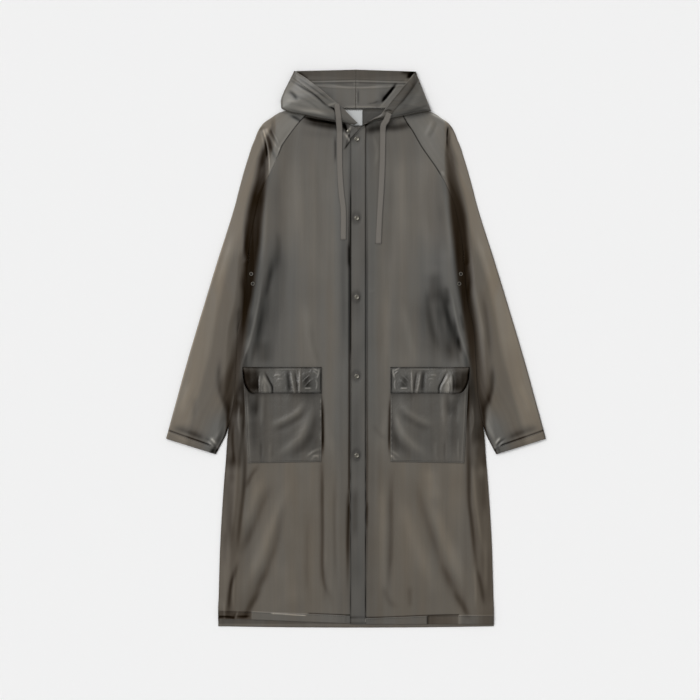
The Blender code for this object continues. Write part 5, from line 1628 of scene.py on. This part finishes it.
class COAT_OT_eyelets(bpy.types.Operator):
    """Adds the two eyelets under each arm"""

    bl_idname = "coat.add_eyelets"
    bl_label = "Eyelets"

    def execute(self, context):
        r = sizes().eyelet_radius / MM
        a = np.linspace(0.0, 2.0 * math.pi, 15)
        bead = np.column_stack([r + 0.8 * np.cos(a), 0.8 + 0.7 * np.sin(a)])
        points, faces = turned(bead, 40)
        disc, disc_faces = turned(((0, 0.6), (r - 0.6, 0.6), (r - 0.5, 0.3), (0, 0.3)), 32)
        for side, word in ((1, "left"), (-1, "right")):
            for i, (x, y) in enumerate(VENT_AT):
                def surface(p, q, side=side):
                    return front_top(side, p, q)
                placed = seated(points, side * x, y, surface, 2 * GAP)
                add_small(f"eyelet_{word}_{i + 1}", placed, faces, finish("eyelet"), f"vent_{word}_{i + 1}")
                placed = seated(disc, side * x, y, surface, 0.2)
                hole = add_small(f"eyelet_shade_{word}_{i + 1}", placed, disc_faces, finish("hole"), None)
        return {"FINISHED"}


# Stitching


def stitch_row(path):
    """Stitches along a path: each is a half-buried bead, three rings of five points between two tips, turned to
    the path and spaced by the stitch's length and gap."""
    long, gap, wide = (v / MM for v in (sizes().stitch_length, sizes().stitch_gap, sizes().thread_width))
    path = np.asarray(path, float)
    along = np.concatenate([[0.0], np.cumsum(np.linalg.norm(np.diff(path, axis=0), axis=1))])
    count = max(1, int(along[-1] / (long + gap)))
    at = (np.arange(count) + 0.5) * along[-1] / count
    ends = [np.stack([np.interp(at + d, along, path[:, k]) for k in range(3)], axis=1) for d in (-long / 2, long / 2)]
    middle, way = (ends[0] + ends[1]) / 2, ends[1] - ends[0]
    way /= np.linalg.norm(way, axis=1)[:, None]
    over = np.cross(np.array([0.0, 0.0, 1.0]), way)
    over /= np.linalg.norm(over, axis=1)[:, None]
    up = np.cross(way, over)
    a = np.linspace(0.0, 2.0 * math.pi, 5, endpoint=False)
    ring = np.array([(s * long / 2, g * math.cos(b), g * math.sin(b)) for s, g in ((-0.6, 0.8), (0, 1), (0.6, 0.8))
                     for b in a])
    bead = np.vstack([[-long / 2, 0, 0], ring, [long / 2, 0, 0]]) * (1, wide / 2, wide / 2)
    frames = np.stack([way, over, up], axis=1)
    points = middle[:, None] + bead[None] @ frames
    tube = grid_faces(3, 5, loop=True) + 1
    caps = [(0, 1 + (j + 1) % 5, 1 + j) for j in range(5)] + [(16, 11 + j, 11 + (j + 1) % 5) for j in range(5)]
    return points.reshape(-1, 3), tube, np.array(caps), count


def add_stitching(name, paths):
    """One object for all the rows of stitches of a part of the coat."""
    all_points, all_faces, base = [], [], 0
    for path in paths:
        points, tube, caps, count = stitch_row(path)
        shift = base + 17 * np.arange(count)[:, None, None]
        all_faces += (tube[None] + shift).reshape(-1, 4).tolist() + (caps[None] + shift).reshape(-1, 3).tolist()
        all_points.append(points)
        base += len(points)
    made = put(name, np.vstack(all_points), [], finish("thread"))
    mesh = bpy.data.meshes.new(name)
    mesh.from_pydata((np.vstack(all_points) * MM).tolist(), [], all_faces)
    mesh.polygons.foreach_set("use_smooth", [True] * len(mesh.polygons))
    mesh.materials.append(finish("thread"))
    made.data = mesh
    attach(made, "root")
    return made


def row_at(grid, distance, reach, columns_from=0, columns_to=None):
    """The line on a grid at a given distance from an edge, one point for each row."""
    part = grid[:, columns_from:columns_to]
    length_to = distance[:, columns_from:columns_to]
    found = [[np.interp(reach, d[::-1], p[::-1, k]) for k in range(3)] for d, p in zip(length_to, part)]
    return np.array(found)


class COAT_OT_stitching(bpy.types.Operator):
    """Adds the stitching of the placket, hems, cuffs, pockets, casing and label"""

    bl_idname = "coat.add_stitching"
    bl_label = "Stitching"

    def execute(self, context):
        step = sizes().hem_step / MM
        y = np.linspace(470.0, FRONT_HEM_Y + 4.0, 260)
        rows = []
        for x in (FREE_EDGE_X + 3.0, FREE_EDGE_X + PLACKET_WIDTH - 3.0):
            rows.append(grid_points(x + 0.0 * y, y, placket_top(x + 0.0 * y, y) + 0.2))
        for side in (1, -1):
            x = np.linspace(UNDERLAP_X + 4.0, 306.0, 90) * side
            line = hem_line(side, x) - 3.0
            rows.append(grid_points(x, line, front_top(side, x, line) + step + 0.1))
        x = np.linspace(-306.0, 306.0, 160)
        line = HEM_Y + 3.0 + 0.0 * x
        rows.append(grid_points(x, line, back_bottom(x, line) + SOLID_WALL + 0.5))
        add_stitching("stitching_body", rows)
        rows = []
        for side in (1, -1):
            grid = sleeve_grid(side)[:, 1:TOP + 1]
            down = cuff_line(grid[..., 0]) - 3.0 - grid[..., 1]
            line = [[np.interp(0.0, down[:, j], grid[:, j, k]) for k in range(3)] for j in range(5, TOP - 2)]
            rows.append(np.array(line) + (0.0, 0.0, step + 0.1))
        add_stitching("stitching_cuffs", rows)
        rows = []
        for side in (1, -1):
            grid, _ = dressed_hood(side)
            rows.append(row_at(grid, from_brim(grid), CASING_DEPTH - 3.0, UNDER + BEND)[6:-8] + (0, 0, 0.25))
            top = from_top(grid)
            line = [[np.interp(CASING_DEPTH - 3.0, top[::-1, j], grid[::-1, j, k]) for k in range(3)]
                    for j in range(2, UNDER - 3)]
            rows.append(np.array(line) + (0, 0, 0.25))
            seam = grid[66:-22, 1]
            rows.append(seam + (side * 2.2, 0.0, 0.25))
        add_stitching("stitching_hood", rows)
        rows = []
        t = np.linspace(0.0, 1.0, 60)
        for side in (1, -1):
            for u, v in ((0.018 + 0.0 * t, 0.3 + 0.68 * t), (0.982 + 0.0 * t, 0.3 + 0.68 * t),
                         (0.018 + 0.964 * t, 0.982 + 0.0 * t)):
                x, y, z, _ = pocket_top(side, u, v)
                rows.append(grid_points(x, y, z + 0.2))
            for u, v in ((0.02 + 0.96 * t, 0.06 + 0.0 * t), (0.02 + 0.84 * t, 0.95 + 0.0 * t)):
                x, y, z, _ = flap_top(side, u, v)
                rows.append(grid_points(x, y, z + 0.2))
        add_stitching("stitching_pockets", rows)
        x = np.linspace(LABEL_LEFT_X + 1.5, LABEL_RIGHT_X - 1.5, 20)
        add_stitching("stitching_label", [grid_points(x, LABEL_TOP_Y - 1.5 + 0.0 * x, LABEL_Z + 0.3)])
        return {"FINISHED"}


# Stage


class COAT_OT_stage(bpy.types.Operator):
    """Adds the floor, the light and the camera straight above"""

    bl_idname = "coat.add_stage"
    bl_label = "Stage"

    def execute(self, context):
        scene = context.scene
        reach = 6000.0
        corners = [(-reach, -reach, -0.3), (reach, -reach, -0.3), (reach, reach, -0.3), (-reach, reach, -0.3)]
        floor = put("paper_sweep", corners, [(0, 1, 2, 3)], finish("floor"), smooth=False)
        world = bpy.data.worlds.new("studio")
        world.use_nodes = True
        scene.world = world
        tree = world.node_tree
        aim = Vector((-0.50, 0.42, 1.0)).normalized()
        look_at = add_node(tree, "TexCoord").outputs["Generated"]
        facing = add_node(tree, "VectorMath", {0: look_at, 1: aim}, operation="DOT_PRODUCT").outputs["Value"]
        box = add_node(tree, "MapRange", {0: facing, 1: math.cos(math.radians(24.0)), 2: math.cos(math.radians(10.0)),
                                          3: 0.54, 4: 5.6}, interpolation_type="SMOOTHSTEP")
        tree.links.new(box.outputs[0], tree.nodes["Background"].inputs["Strength"])
        tree.nodes["Background"].inputs["Color"].default_value = (1.0, 1.0, 1.0, 1.0)
        lens = bpy.data.cameras.new("camera")
        lens.lens, lens.sensor_width = 85.0, 36.0
        lens.clip_end = 50.0
        camera = bpy.data.objects.new("camera", lens)
        camera.location = (-0.0135, -0.0028, 1.575 * 85.0 / 36.0)
        scene.collection.objects.link(camera)
        scene.camera = camera
        scene.view_settings.view_transform = "Standard"
        scene.view_settings.look = "None"
        return {"FINISHED"}


class COAT_PT_panel(bpy.types.Panel):
    """Lists the coat's operators, sizes and colours"""

    bl_idname = "COAT_PT_panel"
    bl_label = "Film raincoat"
    bl_space_type = "VIEW_3D"
    bl_region_type = "UI"
    bl_category = "Coat"

    def draw(self, context):
        for operator in OPERATORS:
            self.layout.operator(operator.bl_idname)
        for group in (context.scene.coat_sizes, context.scene.coat_colours):
            box = self.layout.box()
            for name in group.__annotations__:
                box.prop(group, name)


OPERATORS = (
    COAT_OT_stage, COAT_OT_back, COAT_OT_fronts, COAT_OT_sleeves, COAT_OT_hood, COAT_OT_placket, COAT_OT_pockets,
    COAT_OT_label, COAT_OT_drawstrings, COAT_OT_snaps, COAT_OT_eyelets, COAT_OT_stitching,
)
CLASSES = (CoatSizes, CoatColours, *OPERATORS, COAT_PT_panel)


def register():
    for item in CLASSES:
        bpy.utils.register_class(item)
    bpy.types.Scene.coat_sizes = bpy.props.PointerProperty(type=CoatSizes)
    bpy.types.Scene.coat_colours = bpy.props.PointerProperty(type=CoatColours)


def unregister():
    del bpy.types.Scene.coat_colours
    del bpy.types.Scene.coat_sizes
    for item in reversed(CLASSES):
        bpy.utils.unregister_class(item)


def main():
    register()
    for operator in OPERATORS:
        group, name = operator.bl_idname.split(".")
        getattr(getattr(bpy.ops, group), name)()


if __name__ == "__main__":
    main()
